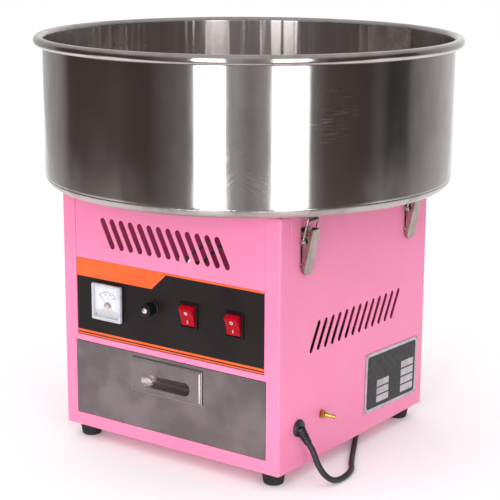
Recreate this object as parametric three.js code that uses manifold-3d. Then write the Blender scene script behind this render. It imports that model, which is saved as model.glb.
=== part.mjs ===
// Table-top candyfloss machine: a wide steel bowl clamped on a pink sheet-metal cabinet,
// with a mains-powered spinner head in the bowl and a drawer in the cabinet.
// Millimetres, Z up. The origin is on the floor under the middle of the bowl.
// The control panel faces -Y, and the mains lead leaves on the +X side.
import * as THREE from 'three';
import { mergeVertices } from 'three/addons/utils/BufferGeometryUtils.js';
import Module from 'manifold-3d';

const wasm = await Module();
wasm.setup();

// Clearances that are used throughout, and how far a cutter runs past the surface it cuts
const fit = 0.3;
const filmGap = 0.05;
const overcut = 1;

// Cabinet
const cabinetWidth = 323;
const cabinetDepth = 327;
const cabinetHeight = 301.2;
const sheet = 1.2;
const footHeight = 18;
const pillarWidth = 20.2;
const drawerPillarWidth = 18.3;
const bottomRailHeight = 16.2;
const drawerWindowHeight = 94.6;
const crossRailHeight = 7.2;
const panelRecess = 0.5;

// Vent slots
const ventCount = 13;
const frontVentPitch = 14.25;
const frontVentLength = 40.3;
const frontVentWidth = 7.8;
const frontVentLean = 26.3;
const frontVentOffset = -4.8;
const frontVentBelowTop = 50.3;
const sideVentPitch = 15.1;
const sideVentLength = 40.2;
const sideVentWidth = 7.1;
const sideVentLean = 28.9;
const sideVentHeight = 150;
const backVentHeight = 225;

// Bowl, its seal and its four catches
const bowlRadius = 249.2;
const bowlWall = 1;
const bowlHeight = 178.9;
const bowlCornerRadius = 14;
const beadRadius = 5.9;
const bowlCollarRadius = 34;
const bowlCollarHeight = 18;
const sealInnerRadius = 118;
const sealWidth = 28;
const sealThickness = 2.2;
const catchWidth = 17;
const catchSheet = 1.2;
const catchLip = 4.9;
const catchLipThickness = 2.4;
const catchFlange = 14;
const catchSlopeDrop = 1.2;
const catchSlopeLength = 2.1;

// Drive: spindle, bearing housing, slip rings, belt and motor
const spindleRadius = 8;
const housingRadius = 23;
const housingFlangeRadius = 38;
const housingFlangeThickness = 3;
const housingBelowDeck = 84;
const housingAboveDeck = 25;
const deckHoleRadius = 24;
const slipRingLength = 34;
const slipRingCoreRadius = 15;
const slipRingRadius = 18;
const slipRingBand = 8;
const pulleyWidth = 16;
const pulleyFlange = 3.4;
const spindlePulleyRadius = 20;
const motorPulleyRadius = 24;
const beltThickness = 4;
const beltWidth = 8.4;
const slipRingsBelowHousing = 11.7;
const motorDistance = 92;
const motorRadius = 44;
const motorLength = 96;
const motorPlate = 100;
const motorPlateThickness = 3;
const motorShaftRadius = 6;
const motorShaftGrip = 24;
const brushWidth = 18;
const brushDepth = 15;
const brushArm = 6;

// Spinner head
const headRadius = 71;
const headClearance = 5;
const cupHeight = 22;
const cupWall = 3;
const bandHeight = 26;
const bandWall = 1.6;
const bandInset = 1;
const bandSlots = 24;
const bandSlotWidth = 3.2;
const bandSlotHeight = 18;
const lidThickness = 2.4;
const lidRim = 12;
const sugarHoleRadius = 22;
const headHubRadius = 14;

// Drawer, its pull and its runners
const drawerGap = 0.5;
const drawerProud = 0.3;
const trayInset = 4.7;
const trayDepth = 300;
const trayHeight = 74;
const trayWall = 1;
const runnerSheet = 1.2;
const runnerLedge = 14;
const runnerHeight = 42;
const runnerLength = 296;
const pullWidth = 106;
const pullHeight = 42;
const pullThickness = 3;
const pullChamfer = 1.6;
const pullAboveMiddle = 21;
const scoopLength = 76;
const scoopHeight = 17;
const scoopDepth = 10;
const scoopShell = 1.2;
const scoopBelowPull = 4.7;

// Control panel
const labelThickness = 0.25;
const labelWidth = 280.4;
const labelHeight = 96.9;
const labelAboveRail = 0.8;
const meterSize = 45;
const meterX = -89.2;
const meterZ = 184.1;
const meterFlange = 1.4;
const meterCoverDepth = 4.8;
const meterCoverWall = 1.5;
const meterBodyRadius = 19;
const meterBodyDepth = 26;
const meterDialThickness = 0.5;
const meterPivotDrop = 4.1;
const needleLength = 17.5;
const needleWidth = 0.9;
const needleThickness = 0.5;
const needleHubRadius = 2.6;
const needlePinRadius = 0.8;
const needleZeroAngle = 45;
const fuseX = -21;
const fuseZ = 188;
const fuseFlangeRadius = 9;
const fuseFlangeThickness = 1.8;
const fuseBodyRadius = 6.4;
const fuseBodyDepth = 36;
const fuseBoreRadius = 5;
const fuseCapRadius = 8;
const fuseCapLength = 12.5;
const fuseTipRadius = 3;
const fuseTipLength = 2.4;
const fuseStemLength = 22;
const switchXs = [33.4, 98.9];
const switchZ = 188.5;
const bezelWidth = 26;
const bezelHeight = 30;
const bezelProud = 2;
const rockerWidth = 19;
const rockerHeight = 20.8;
const rockerOpeningHeight = 26.8;
const switchHousingDepth = 22;
const switchSideWall = 1.6;
const switchEndWall = 1;
const rockerTilt = 17;
const rockerCrest = 3.6;
const rockerValley = 2.4;
const rockerBelly = 5;
const rockerPivotDepth = 4;
const rockerPinRadius = 1.2;
const rockerPinLength = 1;

// Right side: rating plate, earth terminal, cable gland
const plateWidth = 125.5;
const plateHeight = 76;
const plateThickness = 0.8;
const plateY = 84.8;
const plateZ = 76.5;
const plateTilt = -2;
const earthY = -75.5;
const earthZ = 70;
const earthStudRadius = 2.4;
const earthStudLength = 20;
const earthStudInside = 10;
const earthCollarRadius = 5.5;
const earthCollarThickness = 1.2;
const earthNutRadius = 5.2;
const earthNutThickness = 4.5;
const glandY = -124.5;
const glandZ = 66.5;
const glandRadius = 10.5;
const glandThickness = 4;
const glandNeckRadius = 6;
const glandInside = 8;
const glandNutRadius = 9;
const reliefLength = 21;
const reliefStartRadius = 6.6;
const reliefEndRadius = 4.3;
const reliefDrop = 51;

// Feet
const footInset = 21.5;
const footTopRadius = 14.5;
const footBottomRadius = 12.4;
const footRounding = 3.5;
const footSpigotRadius = 3;

// Latches, in distances out from the cabinet's side and heights above the floor
const latchFromMiddle = 116;
const latchPivotOut = 11;
const latchPivotBelowTop = 22.2;
const latchPinRadius = 1.3;
const latchEyeIn = 6;
const latchEyeDrop = 10;
const latchWire = 2.3;
const latchEyeRadius = 3.8;
const latchBarAbovePivot = 18;
const latchBarOut = 0.6;
const latchLeverDrop = 50;
const latchLeverRise = 4.5;
const latchLeverTopOut = 5.1;
const latchLeverTipIn = 6.2;
const latchLeverTopWidth = 15.2;
const latchLeverTipWidth = 18.8;
const latchLeverBack = 10.6;
const latchSheet = 1.3;
const latchBaseWidth = 19;
const latchBaseTop = 6;
const latchBaseBottom = 40;
const latchBaseSheet = 1.2;
const latchEarOutside = 6;
const latchNibProud = 2.6;
const latchEarReach = 2.4;
const latchEarFoot = 6;
const latchEarShoulder = 0.9;
const latchHeadRadius = 2;
const latchHeadThickness = 0.8;

// Mains lead
const loomDiameter = 6;
const loomBehindFace = 13.5;
const loomBelowDeck = 52;
const loomFromMotor = 4;
const cordDiameter = 7;
const cordSides = 10;
const cordLift = 0.2;
const coilMeanRadius = 38.5;
const coilTurns = 5.25;
const coilPitch = 8;
const coilLayerRise = 7.7;
const coilStartAngle = 29;
const coilCentre = [-8, 206];
const coilStepsPerTurn = 24;
const coilSides = 6;
const plugRadius = 18.5;
const plugLength = 40;
const plugPinRadius = 2.4;
const plugPinLength = 19;
const plugPinSpacing = 19;
const plugReliefLength = 20;
const plugReliefRadius = 7;
const plugShoulder = 6;
const plugFromCoil = 40;

// Levels and faces that follow from the sizes above
const cabinetTop = footHeight + cabinetHeight;
const wallTop = cabinetTop - sheet - fit;
const sideFace = cabinetWidth / 2;
const frontFace = -cabinetDepth / 2;
const backFace = cabinetDepth / 2;
const wallInside = sideFace - sheet;
const frameBack = frontFace + sheet;
const drawerWindowBottom = footHeight + bottomRailHeight;
const drawerWindowTop = drawerWindowBottom + drawerWindowHeight;
const controlWindowBottom = drawerWindowTop + crossRailHeight;
const drawerWindowHalf = sideFace - drawerPillarWidth;
const trayHalf = drawerWindowHalf - trayInset;
const controlWindowHalf = sideFace - pillarWidth;
const panelFace = frontFace + panelRecess;
const labelFace = panelFace - filmGap - labelThickness;
const controlsFace = labelFace - fit;
const panelBottom = controlWindowBottom + fit;
const labelBottom = controlWindowBottom + labelAboveRail;
const deckUnderside = cabinetTop - sheet;
const bowlBottom = cabinetTop + sealThickness + 2 * fit;
const bowlTop = bowlBottom + bowlHeight;
const coverFace = controlsFace - meterFlange - fit - meterCoverDepth;
const switchHalfWidth = rockerWidth / 2 + fit + switchSideWall;
const switchHalfHeight = rockerOpeningHeight / 2 + switchEndWall;
const pullMiddle = (drawerWindowBottom + drawerWindowTop) / 2 + pullAboveMiddle;
const scoopMiddle = pullMiddle - scoopBelowPull;
const housingBottom = deckUnderside - housingBelowDeck;
const slipRingsTop = housingBottom - slipRingsBelowHousing;
const slipRingsBottom = slipRingsTop - slipRingLength;
const pulleyTop = slipRingsBottom - fit;
const pulleyBottom = pulleyTop - pulleyWidth;
const housingTop = cabinetTop + housingAboveDeck;
const headBottom = housingTop + headClearance;
const bandBottom = headBottom + cupHeight + fit;
const lidBottom = bandBottom + bandHeight + fit;
const latchPivotZ = cabinetTop - latchPivotBelowTop;
const barOut = latchPivotOut + latchBarOut;
const barZ = latchPivotZ + latchBarAbovePivot;
const eyeOut = latchPivotOut - latchEyeIn;
const eyeZ = latchPivotZ - latchEyeDrop;

const model = new THREE.Group();

function finish(color, roughness, metalness) {
  return new THREE.MeshStandardMaterial({ color, roughness, metalness });
}

const pinkPaint = finish('#f79cc4', 0.3, 0);
const bowlSteel = finish('#b9b3b1', 0.25, 1);
const drawerSteel = finish('#8d8587', 0.45, 1);
const latchSteel = finish('#c9c2bd', 0.3, 1);
const zincSteel = finish('#a8abb0', 0.45, 1);
const blackPlastic = finish('#1b1b1d', 0.45, 0);
const blackRubber = finish('#161616', 0.8, 0);
const blackFilm = finish('#262426', 0.4, 0);
const redPlastic = finish('#e2142c', 0.25, 0);
const whiteCard = finish('#f2f4f7', 0.6, 0);
const clearPlastic = finish('#dfe8ee', 0.1, 0);
const brass = finish('#c9a145', 0.3, 1);
const copper = finish('#b87348', 0.35, 1);
const castAluminium = finish('#b4b6b9', 0.5, 1);
const motorPaint = finish('#3a3d42', 0.6, 0.3);
const needlePaint = finish('#5a1a12', 0.5, 0);

// A solid from a closed geometry: shared corners merged, collapsed triangles left out, facing out
function solid(geometry) {
  const bare = geometry.index ? geometry.toNonIndexed() : geometry.clone();
  bare.deleteAttribute('normal');
  bare.deleteAttribute('uv');
  const merged = mergeVertices(bare, 1e-4);
  const corners = [];
  for (let i = 0; i < merged.index.count; i += 3) {
    const a = merged.index.getX(i);
    const b = merged.index.getX(i + 1);
    const c = merged.index.getX(i + 2);
    if (a !== b && b !== c && c !== a) corners.push(a, b, c);
  }
  const vertProperties = new Float32Array(merged.attributes.position.array);
  const built = new wasm.Manifold(
    new wasm.Mesh({ numProp: 3, vertProperties, triVerts: new Uint32Array(corners) }));
  if (built.volume() > 0) return built;
  const turned = new Uint32Array(corners).reverse();
  return new wasm.Manifold(new wasm.Mesh({ numProp: 3, vertProperties, triVerts: turned }));
}

function geometryOf(body) {
  const mesh = body.getMesh();
  const geometry = new THREE.BufferGeometry();
  geometry.setAttribute('position', new THREE.BufferAttribute(mesh.vertProperties, 3));
  geometry.setIndex(new THREE.BufferAttribute(mesh.triVerts, 1));
  return geometry;
}

function joined(...bodies) {
  return bodies.reduce((whole, body) => whole.add(body));
}

// One named piece of the machine, placed where it belongs
function piece(name, shape, material, place = [0, 0, 0], parent = model) {
  const geometry = shape.isBufferGeometry ? geometryOf(solid(shape)) : geometryOf(shape);
  geometry.computeVertexNormals();
  const mesh = new THREE.Mesh(geometry, material);
  mesh.name = name;
  mesh.position.set(...place);
  parent.add(mesh);
  return mesh;
}

function block(x0, x1, y0, y1, z0, z1) {
  const geometry = new THREE.BoxGeometry(x1 - x0, y1 - y0, z1 - z0);
  geometry.translate((x0 + x1) / 2, (y0 + y1) / 2, (z0 + z1) / 2);
  return geometry;
}

// A round bar along X, Y or Z from one coordinate to another, centred on the other two
function bar(axis, radius, from, to, centre, sides = 24) {
  const geometry = new THREE.CylinderGeometry(radius, radius, to - from, sides);
  if (axis === 'x') geometry.rotateZ(Math.PI / 2);
  if (axis === 'z') geometry.rotateX(Math.PI / 2);
  const middle = (from + to) / 2;
  if (axis === 'x') geometry.translate(middle, centre[0], centre[1]);
  if (axis === 'y') geometry.translate(centre[0], middle, centre[1]);
  if (axis === 'z') geometry.translate(centre[0], centre[1], middle);
  return geometry;
}

// A turned piece about the Z axis, from [radius, height] points that close on themselves
function turned(points, sides) {
  const profile = points.map(([radius, height]) => new THREE.Vector2(radius, height));
  profile.push(profile[0].clone());
  const geometry = new THREE.LatheGeometry(profile, sides);
  geometry.rotateX(Math.PI / 2);
  return geometry;
}

function arc(cx, cy, radius, fromDegrees, toDegrees, steps) {
  const points = [];
  for (let i = 0; i <= steps; i += 1) {
    const angle = THREE.MathUtils.degToRad(fromDegrees + (toDegrees - fromDegrees) * i / steps);
    points.push([cx + radius * Math.cos(angle), cy + radius * Math.sin(angle)]);
  }
  return points;
}

function outline(points) {
  return new THREE.Shape(points.map(([u, v]) => new THREE.Vector2(u, v)));
}

function rectangle(u0, u1, v0, v1) {
  return [[u0, v0], [u1, v0], [u1, v1], [u0, v1]];
}

// An obround of a length and width, leaning from upright by an angle in degrees
function slot(u, v, length, width, lean, steps = 3) {
  const radius = width / 2;
  const reach = length / 2 - radius;
  const ends = [...arc(0, reach, radius, 0, 180, steps), ...arc(0, -reach, radius, 180, 360, steps)];
  const angle = THREE.MathUtils.degToRad(lean);
  return ends.map(([a, b]) => [
    u + a * Math.cos(angle) - b * Math.sin(angle),
    v + a * Math.sin(angle) + b * Math.cos(angle),
  ]);
}

// A flat plate with holes, as a solid that stands in the local XY plane and is thick along Z
function plate(points, holes, thickness) {
  const extruded = (ring, depth) => solid(
    new THREE.ExtrudeGeometry(outline(ring), { depth, bevelEnabled: false }));
  const cutters = holes.map((ring) => extruded(ring, thickness + 2 * overcut).translate([0, 0, -overcut]));
  return cutters.reduce((body, cutter) => body.subtract(cutter), extruded(points, thickness));
}

// A flat plate in X and Z: its face is at the given Y and its thickness runs to +Y
function frontPlate(points, holes, face, thickness) {
  return plate(points, holes, thickness).rotate([90, 0, 0]).translate([0, face + thickness, 0]);
}

// A flat plate in Y and Z, its thickness running from one X to another
function sidePlate(points, holes, x0, x1) {
  return plate(points, holes, x1 - x0).rotate([90, 0, 0]).rotate([0, 0, 90]).translate([x0, 0, 0]);
}

// A row of leaning vent slots, counted out from the row's middle
function vents(middle, height, pitch, length, width, lean) {
  const slots = [];
  for (let i = 0; i < ventCount; i += 1) {
    slots.push(slot(middle + (i - (ventCount - 1) / 2) * pitch, height, length, width, lean));
  }
  return slots;
}

function circle(u, v, radius, steps = 24) {
  return arc(u, v, radius, 0, 360 - 360 / steps, steps - 1);
}

// Front frame: two pillars, the bottom rail and the cross rail between drawer and panel
function frontFrame() {
  const points = [
    [-sideFace, footHeight], [sideFace, footHeight], [sideFace, wallTop],
    [controlWindowHalf, wallTop], [controlWindowHalf, controlWindowBottom],
    [-controlWindowHalf, controlWindowBottom], [-controlWindowHalf, wallTop], [-sideFace, wallTop],
  ];
  const drawerWindow = rectangle(
    -drawerWindowHalf, drawerWindowHalf, drawerWindowBottom, drawerWindowTop);
  piece('front_frame', frontPlate(points, [drawerWindow], frontFace, sheet), pinkPaint);
}

// Side panels: flat sheets behind the frame, each with a row of vents
function sidePanels() {
  const points = rectangle(frameBack + fit, backFace, footHeight, wallTop);
  const slots = (lean) => vents(0, footHeight + sideVentHeight, sideVentPitch, sideVentLength,
    sideVentWidth, lean);
  const glandHole = circle(glandY, glandZ, glandNeckRadius + fit);
  const earthHole = circle(earthY, earthZ, earthStudRadius + fit, 12);
  piece('side_panel_right', sidePlate(points, [...slots(-sideVentLean), glandHole, earthHole],
    wallInside, sideFace), pinkPaint);
  piece('side_panel_left', sidePlate(points, slots(sideVentLean), -sideFace, -wallInside),
    pinkPaint);
}

// The holes for the four instruments, wider than their bodies by a clearance
function controlHoles(clearance) {
  const holes = [
    circle(meterX, meterZ, meterBodyRadius + clearance, 36),
    circle(fuseX, fuseZ, fuseBodyRadius + clearance),
  ];
  for (const x of switchXs) {
    const halfWidth = switchHalfWidth + clearance;
    const halfHeight = switchHalfHeight + clearance;
    holes.push(rectangle(x - halfWidth, x + halfWidth, switchZ - halfHeight, switchZ + halfHeight));
  }
  return holes;
}

// Front panel with its row of vents, and the label film that covers its lower part
function frontPanel() {
  const half = controlWindowHalf - fit;
  const slots = vents(frontVentOffset, cabinetTop - frontVentBelowTop, frontVentPitch,
    frontVentLength, frontVentWidth, frontVentLean);
  piece('front_panel', frontPlate(rectangle(-half, half, panelBottom, wallTop),
    [...slots, ...controlHoles(fit)], panelFace, sheet), pinkPaint);
  piece('control_label', frontPlate(
    rectangle(-labelWidth / 2, labelWidth / 2, labelBottom, labelBottom + labelHeight),
    controlHoles(fit), labelFace, labelThickness), blackFilm);
}

function backPanel() {
  const half = wallInside - fit;
  const bottom = footHeight + sheet + fit;
  const slots = vents(0, backVentHeight, sideVentPitch, sideVentLength, sideVentWidth, sideVentLean);
  piece('back_panel', frontPlate(rectangle(-half, half, bottom, wallTop), slots,
    backFace - sheet, sheet), pinkPaint);
}

// Base pan and top deck
function floorsAndDeck() {
  const half = wallInside - fit;
  const inFront = frameBack + fit;
  const feetHoles = [];
  for (const [x, y] of footPlaces()) feetHoles.push(bar('z', footSpigotRadius + fit, 0, 40, [x, y], 12));
  const pan = feetHoles.reduce((body, hole) => body.subtract(solid(hole)),
    solid(block(-half, half, inFront, backFace, footHeight, footHeight + sheet)));
  piece('base_pan', pan, pinkPaint);
  const deck = solid(block(-sideFace, sideFace, frontFace, backFace, deckUnderside, cabinetTop))
    .subtract(solid(bar('z', deckHoleRadius, 0, cabinetTop + overcut, [0, 0], 36)));
  piece('top_deck', deck, pinkPaint);
}

function footPlaces() {
  const x = sideFace - footInset;
  const y = backFace - footInset;
  return [[x, -y], [-x, -y], [x, y], [-x, y]];
}

// Tapered rubber feet, each with a spigot pressed into a hole of the base pan
function feet() {
  const names = ['foot_front_right', 'foot_front_left', 'foot_back_right', 'foot_back_left'];
  const profile = [
    [0, 0],
    ...arc(footBottomRadius - footRounding, footRounding, footRounding, 270, 360, 3),
    [footTopRadius, footHeight - fit], [footSpigotRadius, footHeight - fit],
    [footSpigotRadius, footHeight + sheet], [0, footHeight + sheet],
  ];
  footPlaces().forEach(([x, y], i) => {
    piece(names[i], turned(profile, 20), blackRubber, [x, y, 0]);
  });
}

// Spun bowl: flat floor with a raised collar, rounded corner, upright wall and rolled rim
function bowl() {
  const inner = bowlRadius - bowlWall;
  const cornerCentre = bowlRadius - bowlCornerRadius;
  const beadCentre = inner + beadRadius;
  const beadZ = bowlTop - beadRadius;
  const joinAngle = THREE.MathUtils.radToDeg(Math.acos((beadRadius - bowlWall) / beadRadius));
  const floorTop = bowlBottom + bowlWall;
  const collarTop = bowlBottom + bowlCollarHeight;
  const profile = [
    [bowlCollarRadius - bowlWall, bowlBottom],
    ...arc(cornerCentre, bowlBottom + bowlCornerRadius, bowlCornerRadius, 270, 360, 4),
    ...arc(beadCentre, beadZ, beadRadius, joinAngle - 180, 180, 10),
    ...arc(cornerCentre, bowlBottom + bowlCornerRadius, bowlCornerRadius - bowlWall, 360, 270, 3),
    [bowlCollarRadius, floorTop],
    [bowlCollarRadius, collarTop],
    [bowlCollarRadius - bowlWall, collarTop],
  ];
  let body = solid(turned(profile, 56));
  for (const y of [-latchFromMiddle, latchFromMiddle]) {
    for (const side of [1, -1]) body = body.add(bowlCatch(side, y));
  }
  piece('bowl', body, bowlSteel);
}

// A catch under the bowl: a welded flange, a neck, and a lip that the wire bail pulls down on
function bowlCatch(side, y) {
  const neckOut = barOut - latchWire / 2 - fit;
  const lipTop = barZ - latchWire / 2 - fit;
  const lipEnd = neckOut + catchLip - catchSheet;
  const points = [
    [neckOut - catchSheet, bowlBottom + bowlWall / 2], [neckOut, bowlBottom + bowlWall / 2],
    [neckOut, lipTop], [lipEnd - catchSlopeLength, lipTop], [lipEnd, lipTop - catchSlopeDrop],
    [lipEnd, lipTop - catchLipThickness], [neckOut - catchSheet, lipTop - catchLipThickness],
    [neckOut - catchSheet, bowlBottom - catchSheet],
    [neckOut - catchFlange, bowlBottom - catchSheet],
    [neckOut - catchFlange, bowlBottom + bowlWall / 2],
  ];
  const shape = outline(points.map(([out, z]) => [side * (sideFace + out), z]));
  const geometry = new THREE.ExtrudeGeometry(shape, { depth: catchWidth, bevelEnabled: false });
  geometry.rotateX(Math.PI / 2);
  geometry.translate(0, y + catchWidth / 2, 0);
  return solid(geometry);
}

// Flat rubber ring that the bowl rests on
function bowlSeal() {
  const bottom = cabinetTop + fit;
  const outer = sealInnerRadius + sealWidth;
  const profile = [[sealInnerRadius, bottom], [outer, bottom],
    [outer, bottom + sealThickness], [sealInnerRadius, bottom + sealThickness]];
  piece('bowl_seal', turned(profile, 40), blackRubber);
}

// Bearing housing: a flanged tube hung under the top deck, standing up through the bowl's collar
function bearingHousing() {
  const bore = spindleRadius + fit;
  const flangeTop = deckUnderside - fit;
  const profile = [
    [bore, housingBottom], [housingRadius, housingBottom],
    [housingRadius, flangeTop - housingFlangeThickness],
    [housingFlangeRadius, flangeTop - housingFlangeThickness], [housingFlangeRadius, flangeTop],
    [housingRadius, flangeTop], [housingRadius, housingTop], [bore, housingTop],
  ];
  piece('bearing_housing', turned(profile, 28), castAluminium);
}

function pulleyProfile(rootRadius, bore) {
  const flangeRadius = rootRadius + beltThickness;
  const groove = rootRadius - fit;
  const low = pulleyBottom + pulleyFlange;
  const high = pulleyTop - pulleyFlange;
  return [
    [bore, pulleyBottom], [flangeRadius, pulleyBottom], [flangeRadius, low], [groove, low],
    [groove, high], [flangeRadius, high], [flangeRadius, pulleyTop], [bore, pulleyTop],
  ];
}

// Spindle and its pulley, pressed together as one body, and the slip rings
function spindle() {
  const bore = spindleRadius + fit;
  const top = lidBottom - fit;
  const thrust = spindleRadius + 5;
  const shaft = [
    [0, pulleyBottom - 4], [spindleRadius, pulleyBottom - 4],
    [spindleRadius, housingTop + fit], [thrust, housingTop + fit],
    [thrust, headBottom - fit], [spindleRadius, headBottom - fit],
    [spindleRadius, top], [0, top],
  ];
  const pulley = solid(turned(pulleyProfile(spindlePulleyRadius, spindleRadius / 2), 28));
  piece('spindle', pulley.add(solid(turned(shaft, 24))), castAluminium);
  const lowBand = slipRingsBottom + (slipRingLength / 2 - slipRingBand) / 2;
  const highBand = lowBand + slipRingLength / 2;
  const sleeve = [
    [bore, slipRingsBottom], [slipRingCoreRadius, slipRingsBottom],
    [slipRingCoreRadius, lowBand], [slipRingRadius, lowBand],
    [slipRingRadius, lowBand + slipRingBand], [slipRingCoreRadius, lowBand + slipRingBand],
    [slipRingCoreRadius, highBand], [slipRingRadius, highBand],
    [slipRingRadius, highBand + slipRingBand], [slipRingCoreRadius, highBand + slipRingBand],
    [slipRingCoreRadius, slipRingsTop], [bore, slipRingsTop],
  ];
  piece('slip_rings', turned(sleeve, 24), copper);
}

// Brush block: its arm hangs from the housing's flange and its face rides on the slip rings
function brushBlock() {
  const face = slipRingRadius + fit;
  const bottom = pulleyTop + 2;
  const top = pulleyTop + slipRingLength;
  const flangeUnderside = deckUnderside - fit - housingFlangeThickness;
  const head = solid(block(face, face + brushDepth, -brushWidth / 2, brushWidth / 2, bottom, top));
  const armInner = housingRadius + fit + 2;
  const arm = solid(block(armInner, armInner + brushArm, -brushWidth / 2, brushWidth / 2,
    top - overcut, flangeUnderside - fit));
  piece('brush_block', head.add(arm), blackPlastic);
}

// Motor hung behind the spindle, its rotor with the pulley, and the belt round both pulleys
function motor() {
  const plateTop = deckUnderside - fit;
  const plateHalf = motorPlate / 2;
  const plate = solid(block(-plateHalf, plateHalf, motorDistance - plateHalf,
    motorDistance + plateHalf, plateTop - motorPlateThickness, plateTop));
  const bodyTop = plateTop - motorPlateThickness + overcut;
  const bodyBottom = bodyTop - motorLength;
  const can = turned([
    [0, bodyBottom], [motorRadius - 3, bodyBottom], [motorRadius, bodyBottom + 3],
    [motorRadius, bodyTop], [0, bodyTop],
  ], 32);
  can.translate(0, motorDistance, 0);
  const shaftHole = bar('z', motorShaftRadius + fit, bodyBottom - overcut,
    bodyBottom + motorShaftGrip + fit, [0, motorDistance]);
  piece('motor', plate.add(solid(can)).subtract(solid(shaftHole)), motorPaint);

  const pulley = turned(pulleyProfile(motorPulleyRadius, motorShaftRadius / 2), 28);
  pulley.translate(0, motorDistance, 0);
  const shaft = bar('z', motorShaftRadius, pulleyBottom, bodyBottom + motorShaftGrip,
    [0, motorDistance]);
  piece('motor_pulley', solid(pulley).add(solid(shaft)), castAluminium);
}

// The belt's outline at a distance outside the pulleys' root radii: two arcs and two straights
function beltOutline(offset) {
  const small = spindlePulleyRadius + offset;
  const large = motorPulleyRadius + offset;
  const splay = THREE.MathUtils.radToDeg(Math.asin((large - small) / motorDistance));
  return [
    ...arc(0, 0, small, 180 + splay, 360 - splay, 14),
    ...arc(0, motorDistance, large, -splay, 180 + splay, 16),
  ];
}

function driveBelt() {
  const shape = outline(beltOutline(beltThickness));
  shape.holes = [outline(beltOutline(0))];
  const geometry = new THREE.ExtrudeGeometry(shape, { depth: beltWidth, bevelEnabled: false });
  piece('drive_belt', geometry, blackRubber, [0, 0, pulleyBottom + (pulleyWidth - beltWidth) / 2]);
}

// Spinner head: sugar cup on the spindle, slotted heater band, and a lid with the sugar hole
function spinnerHead() {
  const bore = spindleRadius + fit;
  const hubTop = lidBottom - 2;
  const cup = [
    [bore, headBottom], [headRadius, headBottom], [headRadius, headBottom + cupHeight],
    [headRadius - cupWall, headBottom + cupHeight], [headRadius - cupWall - 6, headBottom + cupWall],
    [headHubRadius, headBottom + cupWall], [headHubRadius, hubTop], [bore, hubTop],
  ];
  piece('spinner_cup', turned(cup, 36), castAluminium);

  const bandOuter = headRadius - bandInset;
  const ring = solid(turned([
    [bandOuter - bandWall, 0], [bandOuter, 0], [bandOuter, bandHeight],
    [bandOuter - bandWall, bandHeight],
  ], 72));
  let band = ring;
  const low = (bandHeight - bandSlotHeight) / 2;
  for (let i = 0; i < bandSlots; i += 1) {
    const cutter = block(bandOuter - bandWall - overcut, bandOuter + overcut,
      -bandSlotWidth / 2, bandSlotWidth / 2, low, low + bandSlotHeight);
    cutter.rotateZ((i + 0.5) * 2 * Math.PI / bandSlots);
    band = band.subtract(solid(cutter));
  }
  piece('spinner_band', band, castAluminium, [0, 0, bandBottom]);

  const outer = headRadius + bandInset;
  const hole = sugarHoleRadius;
  const lid = [
    [hole, lidBottom], [outer, lidBottom], [outer, lidBottom + lidThickness],
    [hole + lidThickness, lidBottom + lidThickness], [hole + lidThickness, lidBottom + lidRim],
    [hole, lidBottom + lidRim],
  ];
  piece('spinner_lid', turned(lid, 36), castAluminium);
}

// The scoop's hollow: an obround at the face that deepens from its top edge to its bottom edge
function scoopHollow(grow, face) {
  const height = scoopHeight + 2 * grow;
  const length = scoopLength + 2 * grow;
  const depth = scoopDepth + grow;
  const plug = outline(slot(0, scoopMiddle, length, height, 90, 8));
  const prism = new THREE.ExtrudeGeometry(plug, { depth: depth + 2, bevelEnabled: false });
  prism.rotateX(Math.PI / 2);
  prism.translate(0, face + depth, 0);
  const top = scoopMiddle + height / 2;
  const bottom = scoopMiddle - height / 2;
  const curve = [];
  for (let i = 0; i <= 6; i += 1) {
    const part = i / 6;
    curve.push([face + depth * Math.sin(part * Math.PI / 2) ** 1.2, top - (height - 3) * part]);
  }
  const points = [[face - 2 + fit, top], ...curve, [face + depth, bottom], [face - 2 + fit, bottom]];
  return solid(prism).intersect(sidePlate(points, [], -length, length));
}

// Drawer: a tray between a zinc-plated back wall and a flat steel front, and the pressed pull with
// its finger scoop
function drawer() {
  const front = frontFace - drawerProud;
  const half = drawerWindowHalf - drawerGap;
  const bottom = drawerWindowBottom + drawerGap;
  const top = drawerWindowTop - drawerGap;
  const hole = slot(0, scoopMiddle, scoopLength + 2 * scoopShell + 2 * fit,
    scoopHeight + 2 * scoopShell + 2 * fit, 90, 8);
  piece('drawer_front', frontPlate(rectangle(-half, half, bottom, top), [hole], front, sheet),
    drawerSteel);

  const trayFront = front + sheet + fit;
  const trayBottom = drawerWindowBottom + runnerSheet + 2 * fit;
  const trayBack = trayFront + trayDepth;
  const trayTop = trayBottom + trayHeight;
  const inner = trayHalf - trayWall;
  const channel = [
    [-trayHalf, trayBottom], [trayHalf, trayBottom], [trayHalf, trayTop], [inner, trayTop],
    [inner, trayBottom + trayWall], [-inner, trayBottom + trayWall], [-inner, trayTop],
    [-trayHalf, trayTop],
  ];
  piece('drawer_tray', frontPlate(channel, [], trayFront, trayDepth - trayWall - fit), zincSteel);
  piece('drawer_back', block(-trayHalf, trayHalf, trayBack - trayWall, trayBack,
    trayBottom, trayTop), zincSteel);

  const pullFace = front - fit - pullThickness;
  const flat = frontPlate(rectangle(-pullWidth / 2, pullWidth / 2,
    pullMiddle - pullHeight / 2, pullMiddle + pullHeight / 2), [], front - fit - pullChamfer,
  pullChamfer);
  const crown = frontPlate(rectangle(-pullWidth / 2 + pullChamfer, pullWidth / 2 - pullChamfer,
    pullMiddle - pullHeight / 2 + pullChamfer, pullMiddle + pullHeight / 2 - pullChamfer), [],
  pullFace, pullThickness - filmGap);
  const shell = scoopHollow(scoopShell, pullFace).intersect(
    solid(block(-pullWidth, pullWidth, pullFace, pullFace + 40, 0, cabinetTop)));
  const pull = joined(flat, crown, shell).subtract(scoopHollow(0, pullFace));
  piece('drawer_pull', pull, drawerSteel);
}

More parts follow.
